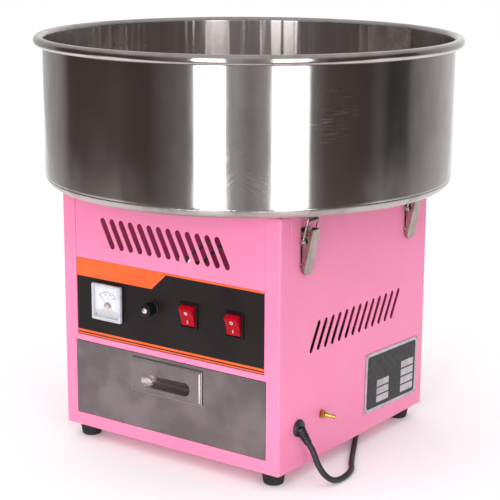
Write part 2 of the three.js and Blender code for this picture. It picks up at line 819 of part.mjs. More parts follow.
// Runners: one angle on each side of the tray, with a ledge under it
function runners() {
  const panTop = footHeight + sheet + fit;
  const ledgeTop = drawerWindowBottom + runnerSheet + fit;
  const web = trayHalf + fit;
  const start = frameBack + fit;
  for (const [name, side] of [['runner_right', 1], ['runner_left', -1]]) {
    const points = [
      [web, panTop], [web + runnerSheet, panTop], [web + runnerSheet, panTop + runnerHeight],
      [web, panTop + runnerHeight], [web, ledgeTop], [web - runnerLedge, ledgeTop],
      [web - runnerLedge, ledgeTop - runnerSheet], [web, ledgeTop - runnerSheet],
    ].map(([x, z]) => [side * x, z]);
    piece(name, frontPlate(points, [], start, runnerLength), zincSteel);
  }
}

// Voltmeter: case with a round body, card dial, turning needle, clear cover
function voltmeter() {
  const half = meterSize / 2;
  const pivotZ = meterZ - meterPivotDrop;
  const flangeFace = controlsFace - meterFlange;
  const square = (size) => rectangle(meterX - size, meterX + size, meterZ - size, meterZ + size);
  const pinHole = solid(bar('y', needlePinRadius + fit, flangeFace - overcut, flangeFace + 6,
    [meterX, pivotZ], 12));
  const flange = frontPlate(square(half), [], flangeFace, meterFlange);
  const body = solid(bar('y', meterBodyRadius, controlsFace - overcut / 2, controlsFace + meterBodyDepth,
    [meterX, meterZ], 36));
  piece('voltmeter_case', flange.add(body).subtract(pinHole), blackPlastic);

  const dialHalf = half - meterCoverWall - fit;
  const dialFace = flangeFace - fit - meterDialThickness;
  piece('voltmeter_dial', frontPlate(square(dialHalf),
    [circle(meterX, pivotZ, needlePinRadius + fit, 12)], dialFace, meterDialThickness), whiteCard);

  const coverBack = flangeFace - fit;
  const shell = solid(block(meterX - half, meterX + half, coverFace, coverBack,
    meterZ - half, meterZ + half));
  const room = half - meterCoverWall;
  const hollow = solid(block(meterX - room, meterX + room, coverFace + meterCoverWall,
    coverBack + overcut, meterZ - room, meterZ + room));
  piece('voltmeter_cover', shell.subtract(hollow), clearPlastic);

  const hubBack = dialFace - fit;
  const hubFace = coverFace + meterCoverWall + fit;
  const hub = solid(bar('y', needleHubRadius, hubFace, hubBack, [0, 0], 16));
  const pin = solid(bar('y', needlePinRadius, hubBack - overcut / 2, flangeFace + 4, [0, 0], 12));
  const pointer = solid(block(-needleWidth / 2, needleWidth / 2,
    hubBack - needleThickness, hubBack, 0, needleLength));
  const needle = piece('voltmeter_needle', joined(hub, pin, pointer), needlePaint,
    [meterX, 0, pivotZ]);
  needle.rotation.y = THREE.MathUtils.degToRad(-needleZeroAngle);
}

// Fuse holder through the panel, and its cap with a metal tip and a stem in the socket
function fuse() {
  const flangeFace = controlsFace - fuseFlangeThickness;
  const centre = [fuseX, fuseZ];
  const body = joined(
    solid(bar('y', fuseFlangeRadius, flangeFace, controlsFace, centre)),
    solid(bar('y', fuseBodyRadius, flangeFace + overcut, controlsFace + fuseBodyDepth, centre)));
  const socket = solid(bar('y', fuseBoreRadius, flangeFace - overcut,
    flangeFace + fuseStemLength + fit, centre));
  piece('fuse_holder', body.subtract(socket), blackPlastic);
  const capBack = flangeFace - fit;
  const capFace = capBack - fuseCapLength;
  const cap = joined(
    solid(bar('y', fuseCapRadius, capFace, capBack, centre)),
    solid(bar('y', fuseTipRadius, capFace - fuseTipLength, capFace + overcut, centre, 16)),
    solid(bar('y', fuseBoreRadius - fit, capBack - overcut, flangeFace + fuseStemLength, centre)));
  piece('fuse_cap', cap, blackPlastic);
}

// The rocker's section: a face dished between two crests, ends rounded about the pivot, and a belly
function rockerProfile() {
  const crest = rockerCrest + rockerPivotDepth;
  const halfHeight = rockerHeight / 2;
  const endRadius = Math.hypot(crest, halfHeight);
  const crestTurn = THREE.MathUtils.radToDeg(Math.atan2(halfHeight, -crest));
  const end = arc(0, 0, endRadius, crestTurn, 90, 3).slice(1, -1);
  const belly = arc(0, 0, 1, 90, -90, 6).map(([a, b]) => [a * rockerBelly, b * endRadius]);
  return [
    [-crest, -halfHeight], [-rockerValley - rockerPivotDepth, 0], [-crest, halfHeight],
    ...end, ...belly, ...end.map(([y, z]) => [y, -z]).reverse(),
  ];
}

// Rocker switches: a bezel with an open housing, and a rocker on two pins
function switches() {
  const bezelFace = controlsFace - bezelProud;
  const pivotY = bezelFace + rockerPivotDepth;
  const openWidth = rockerWidth / 2 + fit;
  const openHeight = rockerOpeningHeight / 2;
  const housingBack = controlsFace + switchHousingDepth;
  ['heat', 'power'].forEach((label, i) => {
    const x = switchXs[i];
    const frame = solid(block(x - bezelWidth / 2, x + bezelWidth / 2, bezelFace, controlsFace,
      switchZ - bezelHeight / 2, switchZ + bezelHeight / 2));
    const housing = solid(block(x - switchHalfWidth, x + switchHalfWidth, bezelFace + overcut,
      housingBack, switchZ - switchHalfHeight, switchZ + switchHalfHeight));
    const hollow = solid(block(x - openWidth, x + openWidth, bezelFace - overcut,
      housingBack - switchSideWall, switchZ - openHeight, switchZ + openHeight));
    const pinHoles = solid(bar('x', rockerPinRadius + fit, x - openWidth - rockerPinLength,
      x + openWidth + rockerPinLength, [pivotY, switchZ], 12));
    piece(`switch_bezel_${label}`, frame.add(housing).subtract(hollow).subtract(pinHoles),
      blackPlastic);

    const slab = sidePlate(rockerProfile(), [], -rockerWidth / 2, rockerWidth / 2);
    const reach = openWidth + rockerPinLength - fit;
    const pins = solid(bar('x', rockerPinRadius, -reach, reach, [0, 0], 12));
    const rocker = piece(`rocker_${label}`, slab.add(pins), redPlastic, [x, pivotY, switchZ]);
    rocker.rotation.x = THREE.MathUtils.degToRad(rockerTilt);
  });
}

// Rating plate, left bare
function ratingPlate() {
  const points = rectangle(-plateWidth / 2, plateWidth / 2, -plateHeight / 2, plateHeight / 2);
  const plate = piece('rating_plate', sidePlate(points, [], 0, plateThickness), latchSteel,
    [sideFace + fit, plateY, plateZ]);
  plate.rotation.x = THREE.MathUtils.degToRad(plateTilt);
}

// Earth terminal: a brass stud through the side panel and a hexagon nut on it
function earthTerminal() {
  const centre = [earthY, earthZ];
  const outside = sideFace + fit;
  const stud = joined(
    solid(bar('x', earthStudRadius, wallInside - earthStudInside, sideFace + earthStudLength,
      centre, 16)),
    solid(bar('x', earthCollarRadius, outside, outside + earthCollarThickness, centre)),
    solid(bar('x', earthCollarRadius, wallInside - fit - earthCollarThickness, wallInside - fit,
      centre, 6)));
  piece('earth_stud', stud, brass);
  const nutFrom = outside + earthCollarThickness + fit;
  const nut = solid(bar('x', earthNutRadius, nutFrom, nutFrom + earthNutThickness, centre, 6))
    .subtract(solid(bar('x', earthStudRadius + fit, nutFrom - overcut, nutFrom + earthNutThickness + overcut,
      centre, 16)));
  piece('earth_nut', nut, brass);
}

// Cable gland with a tapered strain relief that slopes down, bored for the lead
function cableGland() {
  const centre = [glandY, glandZ];
  const outside = sideFace + fit;
  const disc = solid(bar('x', glandRadius, outside, outside + glandThickness, centre));
  const neck = solid(bar('x', glandNeckRadius, wallInside - glandInside, outside + overcut, centre));
  const nut = solid(bar('x', glandNutRadius, wallInside - glandInside, wallInside - fit, centre, 6));
  const relief = new THREE.CylinderGeometry(reliefEndRadius, reliefStartRadius, reliefLength, 20);
  relief.translate(0, reliefLength / 2, 0);
  relief.rotateX(Math.PI / 2);
  relief.rotateY(THREE.MathUtils.degToRad(90 + reliefDrop));
  relief.translate(outside + glandThickness / 2, glandY, glandZ);
  const wallSide = solid(block(wallInside - 60, outside, glandY - 40, glandY + 40,
    glandZ - 60, glandZ + 60));
  const body = joined(disc, neck, nut, solid(relief).subtract(wallSide));
  piece('cable_gland', body, blackPlastic);
}

// Latches: a base with ears and a pivot pin, a pressed lever, and a wire bail with two eyes
function latchOutline(inset, top, tipZ) {
  const topHalf = latchLeverTopWidth / 2 - inset;
  const tipHalf = latchLeverTipWidth / 2 - inset;
  const roundCentre = tipZ + latchLeverTipWidth / 2;
  return [[topHalf, top], [-topHalf, top], ...arc(0, roundCentre, tipHalf, 180, 360, 6)];
}

function acrossPlate(points, halfWidth) {
  const geometry = new THREE.ExtrudeGeometry(outline(points),
    { depth: 2 * halfWidth, bevelEnabled: false });
  geometry.rotateX(Math.PI / 2);
  geometry.translate(0, halfWidth, 0);
  return solid(geometry);
}

function latchLever() {
  const topZ = latchPivotZ + latchLeverRise;
  const tipZ = latchPivotZ - latchLeverDrop;
  const topOut = latchPivotOut + latchLeverTopOut;
  const tipOut = latchPivotOut - latchLeverTipIn;
  const backOut = latchBaseSheet + 2 * fit + 0.4;
  const wedge = acrossPlate([
    [topOut, topZ], [topOut - latchLeverBack, topZ], [backOut, eyeZ + 3], [backOut, tipZ], [tipOut, tipZ],
  ], latchLeverTipWidth);
  const slope = (topOut - tipOut) / (topZ - tipZ);
  const past = 4;
  const hollow = acrossPlate([
    [topOut + past * slope - latchSheet, topZ + past], [-past, topZ + past],
    [-past, tipZ - past], [tipOut - past * slope - latchSheet, tipZ - past],
  ], latchLeverTipWidth);
  const face = sidePlate(latchOutline(0, topZ, tipZ), [], 0, 2 * latchPivotOut);
  const inner = sidePlate(latchOutline(latchSheet, topZ + past, tipZ), [], -past,
    2 * latchPivotOut);
  const pivotHole = solid(bar('y', latchPinRadius + fit, -latchLeverTipWidth, latchLeverTipWidth,
    [latchPivotOut, latchPivotZ], 12));
  const studFrom = latchLeverTopWidth / 2 - 0.4;
  const studTo = latchLeverTipWidth / 2 + 0.8 + latchWire;
  let lever = wedge.intersect(face).subtract(hollow.intersect(inner)).subtract(pivotHole);
  for (const side of [1, -1]) {
    const from = side > 0 ? studFrom : -studTo;
    const to = side > 0 ? studTo : -studFrom;
    const head = side > 0 ? studTo - 0.2 : -studTo - latchHeadThickness;
    lever = lever.add(solid(bar('y', latchPinRadius, from, to, [eyeOut, eyeZ], 10)))
      .add(solid(bar('y', latchHeadRadius, head, head + latchHeadThickness + 0.2,
        [eyeOut, eyeZ], 10)));
  }
  return lever;
}

function latchBase() {
  const half = latchBaseWidth / 2;
  const plate = sidePlate(rectangle(-half, half, latchPivotZ - latchBaseBottom,
    latchPivotZ + latchBaseTop), [], fit, fit + latchBaseSheet);
  const root = fit + latchBaseSheet / 2;
  const ear = [
    [root, latchPivotZ + latchEarShoulder], [root, latchPivotZ - latchEarFoot],
    ...arc(latchPivotOut, latchPivotZ, latchEarReach, -100, 98, 6),
  ];
  const outer = acrossPlate(ear, latchEarOutside);
  const between = acrossPlate(rectangle(fit + latchBaseSheet, 30, 0, cabinetTop),
    latchEarOutside - latchBaseSheet);
  const pinEnd = latchLeverTipWidth / 2 - 0.6;
  const pin = solid(bar('y', latchPinRadius, -pinEnd, pinEnd, [latchPivotOut, latchPivotZ], 12));
  const nibZ = latchPivotZ - latchBaseBottom + 3;
  const wide = half + 0.2 + overcut;
  const nibPlate = solid(block(fit, fit + latchBaseSheet, -wide, wide, nibZ, nibZ + 3));
  const nibs = [half + 0.2, -wide].map((y) => solid(
    block(fit, fit + latchBaseSheet + latchNibProud, y, y + overcut, nibZ, nibZ + 3)));
  return joined(plate, outer.subtract(between), pin, nibPlate, ...nibs);
}

function latchBail() {
  const legY = latchLeverTipWidth / 2 + 0.5 + latchWire / 2;
  const wire = latchWire / 2;
  const legLength = Math.hypot(barOut - eyeOut, barZ - eyeZ);
  const lean = Math.atan2(barOut - eyeOut, barZ - eyeZ);
  const crossbar = bar('y', wire, -legY - wire, legY + wire, [barOut, barZ], 8);
  let bail = solid(crossbar);
  for (const side of [1, -1]) {
    const leg = new THREE.CylinderGeometry(wire, wire, legLength - latchEyeRadius + wire, 8);
    leg.rotateX(Math.PI / 2);
    leg.translate(0, side * legY, (legLength + latchEyeRadius - wire) / 2);
    leg.rotateY(lean);
    leg.translate(eyeOut, 0, eyeZ);
    const eye = bar('y', latchEyeRadius, side * legY - wire, side * legY + wire, [eyeOut, eyeZ], 12);
    bail = bail.add(solid(leg)).add(solid(eye));
  }
  return bail.subtract(solid(bar('y', latchPinRadius + fit, -legY - latchWire, legY + latchWire,
    [eyeOut, eyeZ], 12)));
}

function latches() {
  const base = latchBase();
  const lever = latchLever();
  const bail = latchBail();
  for (const [sideName, side] of [['right', 1], ['left', -1]]) {
    for (const y of [-latchFromMiddle, latchFromMiddle]) {
      const place = new THREE.Group();
      place.position.set(side * sideFace, y, 0);
      place.rotation.z = side > 0 ? 0 : Math.PI;
      model.add(place);
      const where = `${y < 0 ? 'front' : 'back'}_${sideName}`;
      piece(`latch_base_${where}`, base, latchSteel, [0, 0, 0], place);
      piece(`latch_lever_${where}`, lever, latchSteel, [0, 0, 0], place);
      piece(`latch_bail_${where}`, bail, latchSteel, [0, 0, 0], place);
    }
  }
}

// A round tube along points, with flat ends
function tube(points, diameter, steps, sides) {
  const path = new THREE.CatmullRomCurve3(points.map((p) => new THREE.Vector3(...p)),
    false, 'centripetal');
  const section = outline(circle(0, 0, diameter / 2, sides));
  return new THREE.ExtrudeGeometry(section, { steps, bevelEnabled: false, extrudePath: path });
}

// The loom's way from the power switch up behind the last vents, then down and back to the motor
const loomPoints = [
  [98.0, -150.0, 220.0],
  [93.0, -150.0, 244.0],
  [83.0, -150.0, 264.0],
  [69.4, -150.0, 271.9],
  [57.4, -150.0, 264.0],
  [47.5, -150.0, 252.5],
  [33.1, -149.0, 249.0],
  [18.0, -142.0, 239.0],
  [-4.0, -124.0, 229.0],
  [-30.0, -94.0, 225.0],
  [-52.0, -50.0, 227.0],
  [-62.0, 0.0, 235.0],
  [-62.0, 50.0, 250.0],
  [-56.0, 82.0, 262.0],
];

function wiringLoom() {
  const start = [switchXs[1], frontFace + loomBehindFace, switchZ + switchHalfHeight + fit];
  const end = [-motorRadius - loomFromMotor, motorDistance, deckUnderside - loomBelowDeck];
  piece('wiring_loom', tube([start, ...loomPoints, end], loomDiameter, 52, 6), blackRubber);
}

// Mains lead: out of the strain relief, down to the floor, under the cabinet to the coil
const floorLevel = cordDiameter / 2 + cordLift;
const leadPoints = [
  [177.21, -124.5, 49.95],
  [179.41, -124.5, 47.23],
  [181.62, -124.5, 44.51],
  [185.2, -124.5, 37.6],
  [188.8, -123.9, 29.0],
  [195.0, -120.0, 16.6],
  [199.4, -110.0, 7.4],
  [201.2, -97.0, floorLevel],
  [201.0, -80.0, floorLevel],
  [195.4, -60.5, floorLevel],
  [184.0, -42.0, floorLevel],
  [150.0, 21.0, floorLevel],
  [110.0, 95.0, floorLevel],
  [70.0, 168.0, floorLevel],
];

// The coil spirals in through the lower layer, climbs where it turns back, and spirals out again
function coilPoint(turn) {
  const half = coilTurns / 2;
  const away = Math.abs(turn - half);
  const radius = coilMeanRadius + (away - half / 2) * coilPitch;
  const climb = THREE.MathUtils.smoothstep(turn, half - 0.25, half + 0.25);
  const angle = THREE.MathUtils.degToRad(coilStartAngle) + turn * 2 * Math.PI;
  return new THREE.Vector3(coilCentre[0] + radius * Math.cos(angle),
    coilCentre[1] + radius * Math.sin(angle), floorLevel + climb * coilLayerRise);
}

function mainsLead() {
  const spiral = [];
  const count = Math.round(coilTurns * coilStepsPerTurn);
  for (let i = 0; i <= count; i += 1) spiral.push(coilPoint(i * coilTurns / count));

  const arriving = coilPoint(0.002).sub(coilPoint(0)).normalize();
  const coilStart = coilPoint(0).addScaledVector(arriving, -cordDiameter);
  const leadEnd = coilStart.clone().addScaledVector(arriving, -fit);
  const straight = [14, 7, 0].map((back) => leadEnd.clone().addScaledVector(arriving, -back));
  piece('power_cord', tube([...leadPoints, ...straight.map((p) => p.toArray())],
    cordDiameter, 42, cordSides), blackRubber);

  const leaving = coilPoint(coilTurns).sub(coilPoint(coilTurns - 0.002));
  leaving.z = 0;
  leaving.normalize();
  const plugZ = plugRadius + cordLift;
  const tailEnd = spiral[count].clone().addScaledVector(leaving, plugFromCoil);
  const tail = [];
  for (let i = 1; i <= 8; i += 1) {
    const part = i / 8;
    const p = spiral[count].clone().addScaledVector(leaving,
      (plugFromCoil - cordDiameter) * part);
    p.z += (plugZ - p.z) * THREE.MathUtils.smoothstep(part, 0, 1);
    tail.push(p);
  }
  tailEnd.z = plugZ;
  const centreline = [coilStart, coilStart.clone().addScaledVector(arriving, cordDiameter / 2),
    ...spiral, ...tail, tailEnd];
  const path = new THREE.CatmullRomCurve3(centreline, false, 'centripetal');
  const length = path.getLength();
  const loopStep = 2 * Math.PI * coilMeanRadius / coilStepsPerTurn;
  piece('cord_coil', new THREE.ExtrudeGeometry(outline(circle(0, 0, cordDiameter / 2, coilSides)),
    { steps: Math.round(length / loopStep), bevelEnabled: false, extrudePath: path }), blackRubber);
  reportSelfGap(path, length);

  plug(tailEnd.addScaledVector(leaving, fit), leaving);
}

// Prints the least distance between two stretches of the coil that lie a half loop or more apart
function reportSelfGap(path, length) {
  const points = path.getSpacedPoints(Math.round(length));
  const apart = Math.round(Math.PI * coilMeanRadius);
  let least = Infinity;
  for (let i = 0; i < points.length; i += 1) {
    for (let j = i + apart; j < points.length; j += 1) {
      least = Math.min(least, points[i].distanceTo(points[j]) - cordDiameter);
    }
  }
  console.log(`coil ${length.toFixed(0)} mm long, least self-gap ${least.toFixed(2)} mm`);
}

// Round two-pin plug lying on the floor, with a tapered relief towards the coil
function plug(start, direction) {
  const shoulder = plugReliefLength + plugShoulder;
  const end = plugReliefLength + plugLength;
  const body = solid(turned([
    [0, 0], [cordDiameter / 2 + 0.6, 0], [plugReliefRadius, plugReliefLength],
    [plugRadius - 5, plugReliefLength], [plugRadius, shoulder], [plugRadius, end - 2],
    [plugRadius - 2, end], [0, end],
  ], 24));
  const pins = [-1, 1].map((side) => solid(bar('z', plugPinRadius, end - overcut,
    end + plugPinLength, [0, side * plugPinSpacing / 2], 12)));
  const whole = piece('plug', joined(body, ...pins), blackRubber, start.toArray());
  whole.rotation.order = 'ZYX';
  whole.rotation.set(0, Math.PI / 2, Math.atan2(direction.y, direction.x));
}

frontFrame();
sidePanels();
backPanel();
floorsAndDeck();
feet();
frontPanel();
runners();
drawer();
voltmeter();
fuse();
switches();
ratingPlate();
earthTerminal();
cableGland();
latches();
bowlSeal();
bowl();
bearingHousing();
spindle();
brushBlock();
motor();
driveBelt();
spinnerHead();
wiringLoom();
mainsLead();

export default model;
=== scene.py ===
# Table-top candyfloss machine: a wide steel bowl latched on a pink sheet-metal cabinet.
# The file follows the machine as it is put together. Sizes are in millimetres, as on a maker's
# drawing, and every helper turns them to Blender's metres. The panel faces -Y and Z is up.
import math

import bpy
from mathutils import Matrix, Vector


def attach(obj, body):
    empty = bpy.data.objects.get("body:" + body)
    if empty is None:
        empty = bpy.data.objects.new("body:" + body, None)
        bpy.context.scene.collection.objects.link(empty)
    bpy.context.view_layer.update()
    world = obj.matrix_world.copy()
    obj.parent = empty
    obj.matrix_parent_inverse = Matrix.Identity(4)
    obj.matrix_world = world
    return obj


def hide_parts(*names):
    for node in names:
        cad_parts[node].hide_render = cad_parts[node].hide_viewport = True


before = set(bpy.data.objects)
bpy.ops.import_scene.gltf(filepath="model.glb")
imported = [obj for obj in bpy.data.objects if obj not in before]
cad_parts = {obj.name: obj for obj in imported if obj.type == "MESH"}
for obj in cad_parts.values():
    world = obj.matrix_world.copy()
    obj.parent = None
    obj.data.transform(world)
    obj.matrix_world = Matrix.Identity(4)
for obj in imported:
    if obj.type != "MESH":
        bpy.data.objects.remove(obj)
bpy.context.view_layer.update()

# Camera
# It stands to the right of the machine's front corner, a little over its rim, with a long lens,
# so upright edges stay upright and the drawer front and the right side both show.
camera_place = (1.06039, -1.47597, 0.66243)
camera_heading, camera_dip, camera_roll = 35.6187, 13.3639, 0.292
bpy.ops.object.camera_add()
camera = bpy.context.object
camera.matrix_world = (Matrix.Translation(camera_place)
                       @ Matrix.Rotation(math.radians(camera_heading), 4, "Z")
                       @ Matrix.Rotation(math.radians(90 - camera_dip), 4, "X")
                       @ Matrix.Rotation(math.radians(camera_roll), 4, "Z"))
camera.data.lens = 107.22
camera.data.sensor_width = 36
bpy.context.scene.camera = camera
bpy.context.scene.view_settings.view_transform = "Standard"

# Mains lead
# Black PVC sheath, 7 mm, out of the strain relief, down to the bench, under the cabinet and into
# a two-layer coil behind it that ends in the plug. It is extruded round its wires, so it shines.
mm = 0.001
lead_diameter = 7
bench_level = lead_diameter / 2 + 0.2
lead_route = [
    (177.21, -124.5, 49.95), (179.41, -124.5, 47.23), (181.62, -124.5, 44.51),
    (185.2, -124.5, 37.6), (188.8, -123.9, 29.0), (195.0, -120.0, 16.6), (199.4, -110.0, 7.4),
    (201.2, -97.0, bench_level), (201.0, -80.0, bench_level), (195.4, -60.5, bench_level),
    (184.0, -42.0, bench_level), (150.0, 21.0, bench_level), (110.0, 95.0, bench_level),
    (70.0, 168.0, bench_level),
]
coil_centre, coil_radius, coil_turns = (-8, 206), 38.5, 5.25
coil_pitch, coil_rise, coil_start = 8, 7.7, 29


def eased(low, high, value):
    """Goes smoothly from nothing to one while a value goes from low to high."""
    part = min(1, max(0, (value - low) / (high - low)))
    return part * part * (3 - 2 * part)


def coil_point(turn):
    """The coil's centreline: the lower layer winds inwards and the upper one back out."""
    half = coil_turns / 2
    radius = coil_radius + (abs(turn - half) - half / 2) * coil_pitch
    angle = math.radians(coil_start) + turn * 2 * math.pi
    return Vector((coil_centre[0] + radius * math.cos(angle),
                   coil_centre[1] + radius * math.sin(angle),
                   bench_level + coil_rise * eased(half - 0.25, half + 0.25, turn)))


def smooth_route(points, parts):
    """A smooth line through points, with a number of parts between each two."""
    points = [Vector(p) for p in points]
    ends = [points[0] * 2 - points[1]] + points + [points[-1] * 2 - points[-2]]
    route = [points[0]]
    for a, b, c, d in zip(ends, ends[1:], ends[2:], ends[3:]):
        ab, bc, cd = [(q - p).length ** 0.5 for p, q in ((a, b), (b, c), (c, d))]
        leaving = ((b - a) / ab - (c - a) / (ab + bc) + (c - b) / bc) * bc
        arriving = ((c - b) / bc - (d - b) / (bc + cd) + (d - c) / cd) * bc
        for i in range(1, parts + 1):
            t = i / parts
            route.append(b * (2 * t**3 - 3 * t**2 + 1) + leaving * (t**3 - 2 * t**2 + t)
                         + c * (3 * t**2 - 2 * t**3) + arriving * (t**3 - t**2))
    return route


coil_steps = round(coil_turns * 24)
spiral = [coil_point(i * coil_turns / coil_steps) for i in range(coil_steps + 1)]
into_coil = (coil_point(0.002) - coil_point(0)).normalized()
coil_mouth = spiral[0] - into_coil * lead_diameter
out_of_coil = coil_point(coil_turns) - coil_point(coil_turns - 0.002)
out_of_coil.z = 0
out_of_coil.normalize()
plug_radius = 18.5
plug_level = plug_radius + 0.2
tail_length, tail_steps = 40, 8
tail = []
for i in range(1, tail_steps + 1):
    point = spiral[-1] + out_of_coil * (tail_length - lead_diameter) * i / tail_steps
    point.z += (plug_level - point.z) * eased(0, 1, i / tail_steps)
    tail.append(point)
plug_start = spiral[-1] + out_of_coil * tail_length
plug_start.z = plug_level
straight = [coil_mouth - into_coil * back for back in (14.3, 7.3, 0.3)]
centreline = smooth_route(lead_route + straight + [coil_mouth + into_coil * 3.5] + spiral
                          + tail + [plug_start], 4)


def curve_piece(name, routes, thickness, sides=8, closed=False):
    """A round wire or lead along one or more lists of points."""
    curve = bpy.data.curves.new(name, "CURVE")
    curve.dimensions = "3D"
    curve.bevel_depth = thickness / 2 * mm
    curve.bevel_resolution = sides // 2 - 2
    curve.use_fill_caps = True
    for route in routes:
        spline = curve.splines.new("POLY")
        spline.points.add(len(route) - 1)
        spline.use_cyclic_u = closed
        for point, place in zip(spline.points, route):
            point.co = (*(Vector(place) * mm), 1)
    piece = bpy.data.objects.new(name, curve)
    bpy.context.scene.collection.objects.link(piece)
    return piece


def choose(piece=None):
    """Selects one piece alone and makes it the active one, or selects nothing."""
    bpy.ops.object.select_all(action="DESELECT")
    if piece:
        piece.select_set(True)
        bpy.context.view_layer.objects.active = piece


def colour(code):
    """Turns an sRGB hex colour into the linear one that sockets take."""
    parts = [int(code[i:i + 2], 16) / 255 for i in (1, 3, 5)]
    return [p / 12.92 if p <= 0.04045 else ((p + 0.055) / 1.055) ** 2.4 for p in parts] + [1]


def add(material, kind, inputs=None, **settings):
    """Adds a node with its settings. Its inputs are given by name or number, as a value or as
    an output to link from."""
    tree = material.node_tree
    node = tree.nodes.new("ShaderNode" + kind)
    for name, value in settings.items():
        setattr(node, name, value)
    for name, value in (inputs or {}).items():
        if isinstance(value, bpy.types.NodeSocket):
            tree.links.new(value, node.inputs[name])
        else:
            node.inputs[name].default_value = value
    return node


def new_material(name, sockets):
    """Starts a material and sets the sockets of its shader that are the same all over."""
    material = bpy.data.materials.new(name)
    material.use_nodes = True
    shader = material.node_tree.nodes["Principled BSDF"]
    for socket, value in sockets.items():
        shader.inputs[socket].default_value = value
    return material


def grain(material, size, detail=2.0, stretch=(1, 1, 1), roughness=0.5):
    """Soft noise whose blotches are about a size in millimetres, on the piece's own place."""
    place = add(material, "TexCoord").outputs["Object"]
    spread = add(material, "Mapping", {"Vector": place, "Scale": stretch}).outputs["Vector"]
    return add(material, "TexNoise", {"Vector": spread, "Scale": 1 / (size * mm),
                                      "Detail": detail, "Roughness": roughness}).outputs["Fac"]


def finish(name, sockets, shades, drift, wear=None, skin=None, spread=True):
    """Makes a material with its shader's even sockets set. Its colour drifts between two shades
    in patches, or in an even haze where it isn't spread, and where it is worn its roughness
    drifts between two values. Skin is a bump, with its depth in millimetres first. Each pattern
    ends as grain takes it."""
    material = new_material(name, sockets)
    links, shader = material.node_tree.links, material.node_tree.nodes["Principled BSDF"]

    def patches(low, high, *pattern):
        return add(material, "MapRange",
                   {"Value": grain(material, *pattern), "From Min": 0.35, "From Max": 0.65,
                    "To Min": low, "To Max": high}, interpolation_type="SMOOTHSTEP").outputs[0]

    drifting = patches(0, 1, *drift) if spread else grain(material, *drift)
    blend = add(material, "Mix", {0: drifting, 6: colour(shades[0]), 7: colour(shades[1])},
                data_type="RGBA")
    links.new(blend.outputs[2], shader.inputs["Base Color"])
    if wear:
        links.new(patches(*wear), shader.inputs["Roughness"])
    if skin:
        depth, *pattern = skin
        bump = add(material, "Bump", {"Height": grain(material, *pattern), "Distance": depth * mm,
                                      "Strength": 1})
        links.new(bump.outputs["Normal"], shader.inputs["Normal"])
    return material


# Soft PVC: a dull black skin with a faint wave from the die and a little dust in it
lead_sheath = finish("pvc_sheath", {"Roughness": 0.42, "IOR": 1.52}, ("#17171a", "#26262a"),
                     (9, 4), wear=(0.36, 0.5, 9, 4), skin=(0.04, 1.2))


def modify(piece, kind, **settings):
    """Adds a modifier with its settings and applies it."""
    bpy.context.view_layer.objects.active = piece
    modifier = piece.modifiers.new(kind.lower(), kind)
    for name, value in settings.items():
        setattr(modifier, name, value)
    bpy.ops.object.modifier_apply(modifier=modifier.name)
    return piece


def fit(piece, material, body, nodes=(), smooth=30):
    """Gives a finished piece its material and its shading, hangs it on the body it rides on and
    hides the CAD nodes that it stands for."""
    if material:
        piece.data.materials.clear()
        piece.data.materials.append(material)
    if piece.type == "MESH" and smooth:
        choose(piece)
        bpy.ops.object.shade_smooth_by_angle(angle=math.radians(smooth))
        modify(piece, "WEIGHTED_NORMAL", weight=100, keep_sharp=True)
    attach(piece, body)
    if nodes:
        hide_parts(*nodes)
    return piece


lead = curve_piece("mains_lead", [centreline], lead_diameter, 16)
fit(lead, lead_sheath, "cabinet", ["power_cord", "cord_coil"])

# Plug
# A round two-pin plug moulded onto the lead in the same PVC: a ribbed relief that lets the lead
# bend, a barrel with a finger groove, and two nickel-plated brass pins with bare tips.


def settle(piece, place=None, turn=None):
    """Puts a piece's place, turn and scale into its mesh. A place in millimetres and a turn in
    degrees are given to it first."""
    if place is not None:
        piece.location = Vector(place) * mm
    if turn is not None:
        piece.rotation_euler = [math.radians(angle) for angle in turn]
    choose(piece)
    bpy.ops.object.transform_apply(location=True, rotation=True, scale=True)
    return piece


def drawn(name, points, closed=True, thick=None):
    """Draws an outline by extruding one corner from point to point. A closed one is filled, and
    pushed out by a vector where it is thick."""
    points = [Vector(p) * mm for p in points]
    choose()
    bpy.ops.mesh.primitive_plane_add(size=mm, location=points[0])
    piece = bpy.context.object
    piece.name = name
    bpy.ops.object.mode_set(mode="EDIT")
    bpy.ops.mesh.merge(type="CENTER")
    ring = points + points[:1] if closed else points
    for a, b in zip(ring, ring[1:]):
        bpy.ops.mesh.extrude_region_move(TRANSFORM_OT_translate={"value": b - a})
    bpy.ops.mesh.select_all(action="SELECT")
    if closed:
        bpy.ops.mesh.remove_doubles(threshold=1e-6)
        bpy.ops.mesh.edge_face_add()
    if thick:
        bpy.ops.mesh.extrude_region_move(TRANSFORM_OT_translate={"value": Vector(thick) * mm})
        bpy.ops.mesh.select_all(action="SELECT")
        bpy.ops.mesh.normals_make_consistent(inside=False)
    bpy.ops.object.mode_set(mode="OBJECT")
    return settle(piece)


def turned(name, profile, steps=48, centre=(0, 0, 0), axis="Z"):
    """Turns a profile of [radius, height] points round an upright axis, then lays it along
    another axis if one is named, with its foot at a centre."""
    piece = drawn(name, [(r, 0, h) for r, h in profile], closed=False)
    bpy.ops.object.mode_set(mode="EDIT")
    bpy.ops.mesh.select_all(action="SELECT")
    bpy.ops.mesh.spin(steps=steps, angle=2 * math.pi, center=(0, 0, 0), axis=(0, 0, 1))
    bpy.ops.mesh.select_all(action="SELECT")
    bpy.ops.mesh.remove_doubles(threshold=1e-6)
    bpy.ops.mesh.normals_make_consistent(inside=False)
    bpy.ops.object.mode_set(mode="OBJECT")
    turns = {"Z": (0, 0, 0), "X": (0, 90, 0), "-Y": (90, 0, 0), "Y": (-90, 0, 0)}
    return settle(piece, centre, turns[axis])


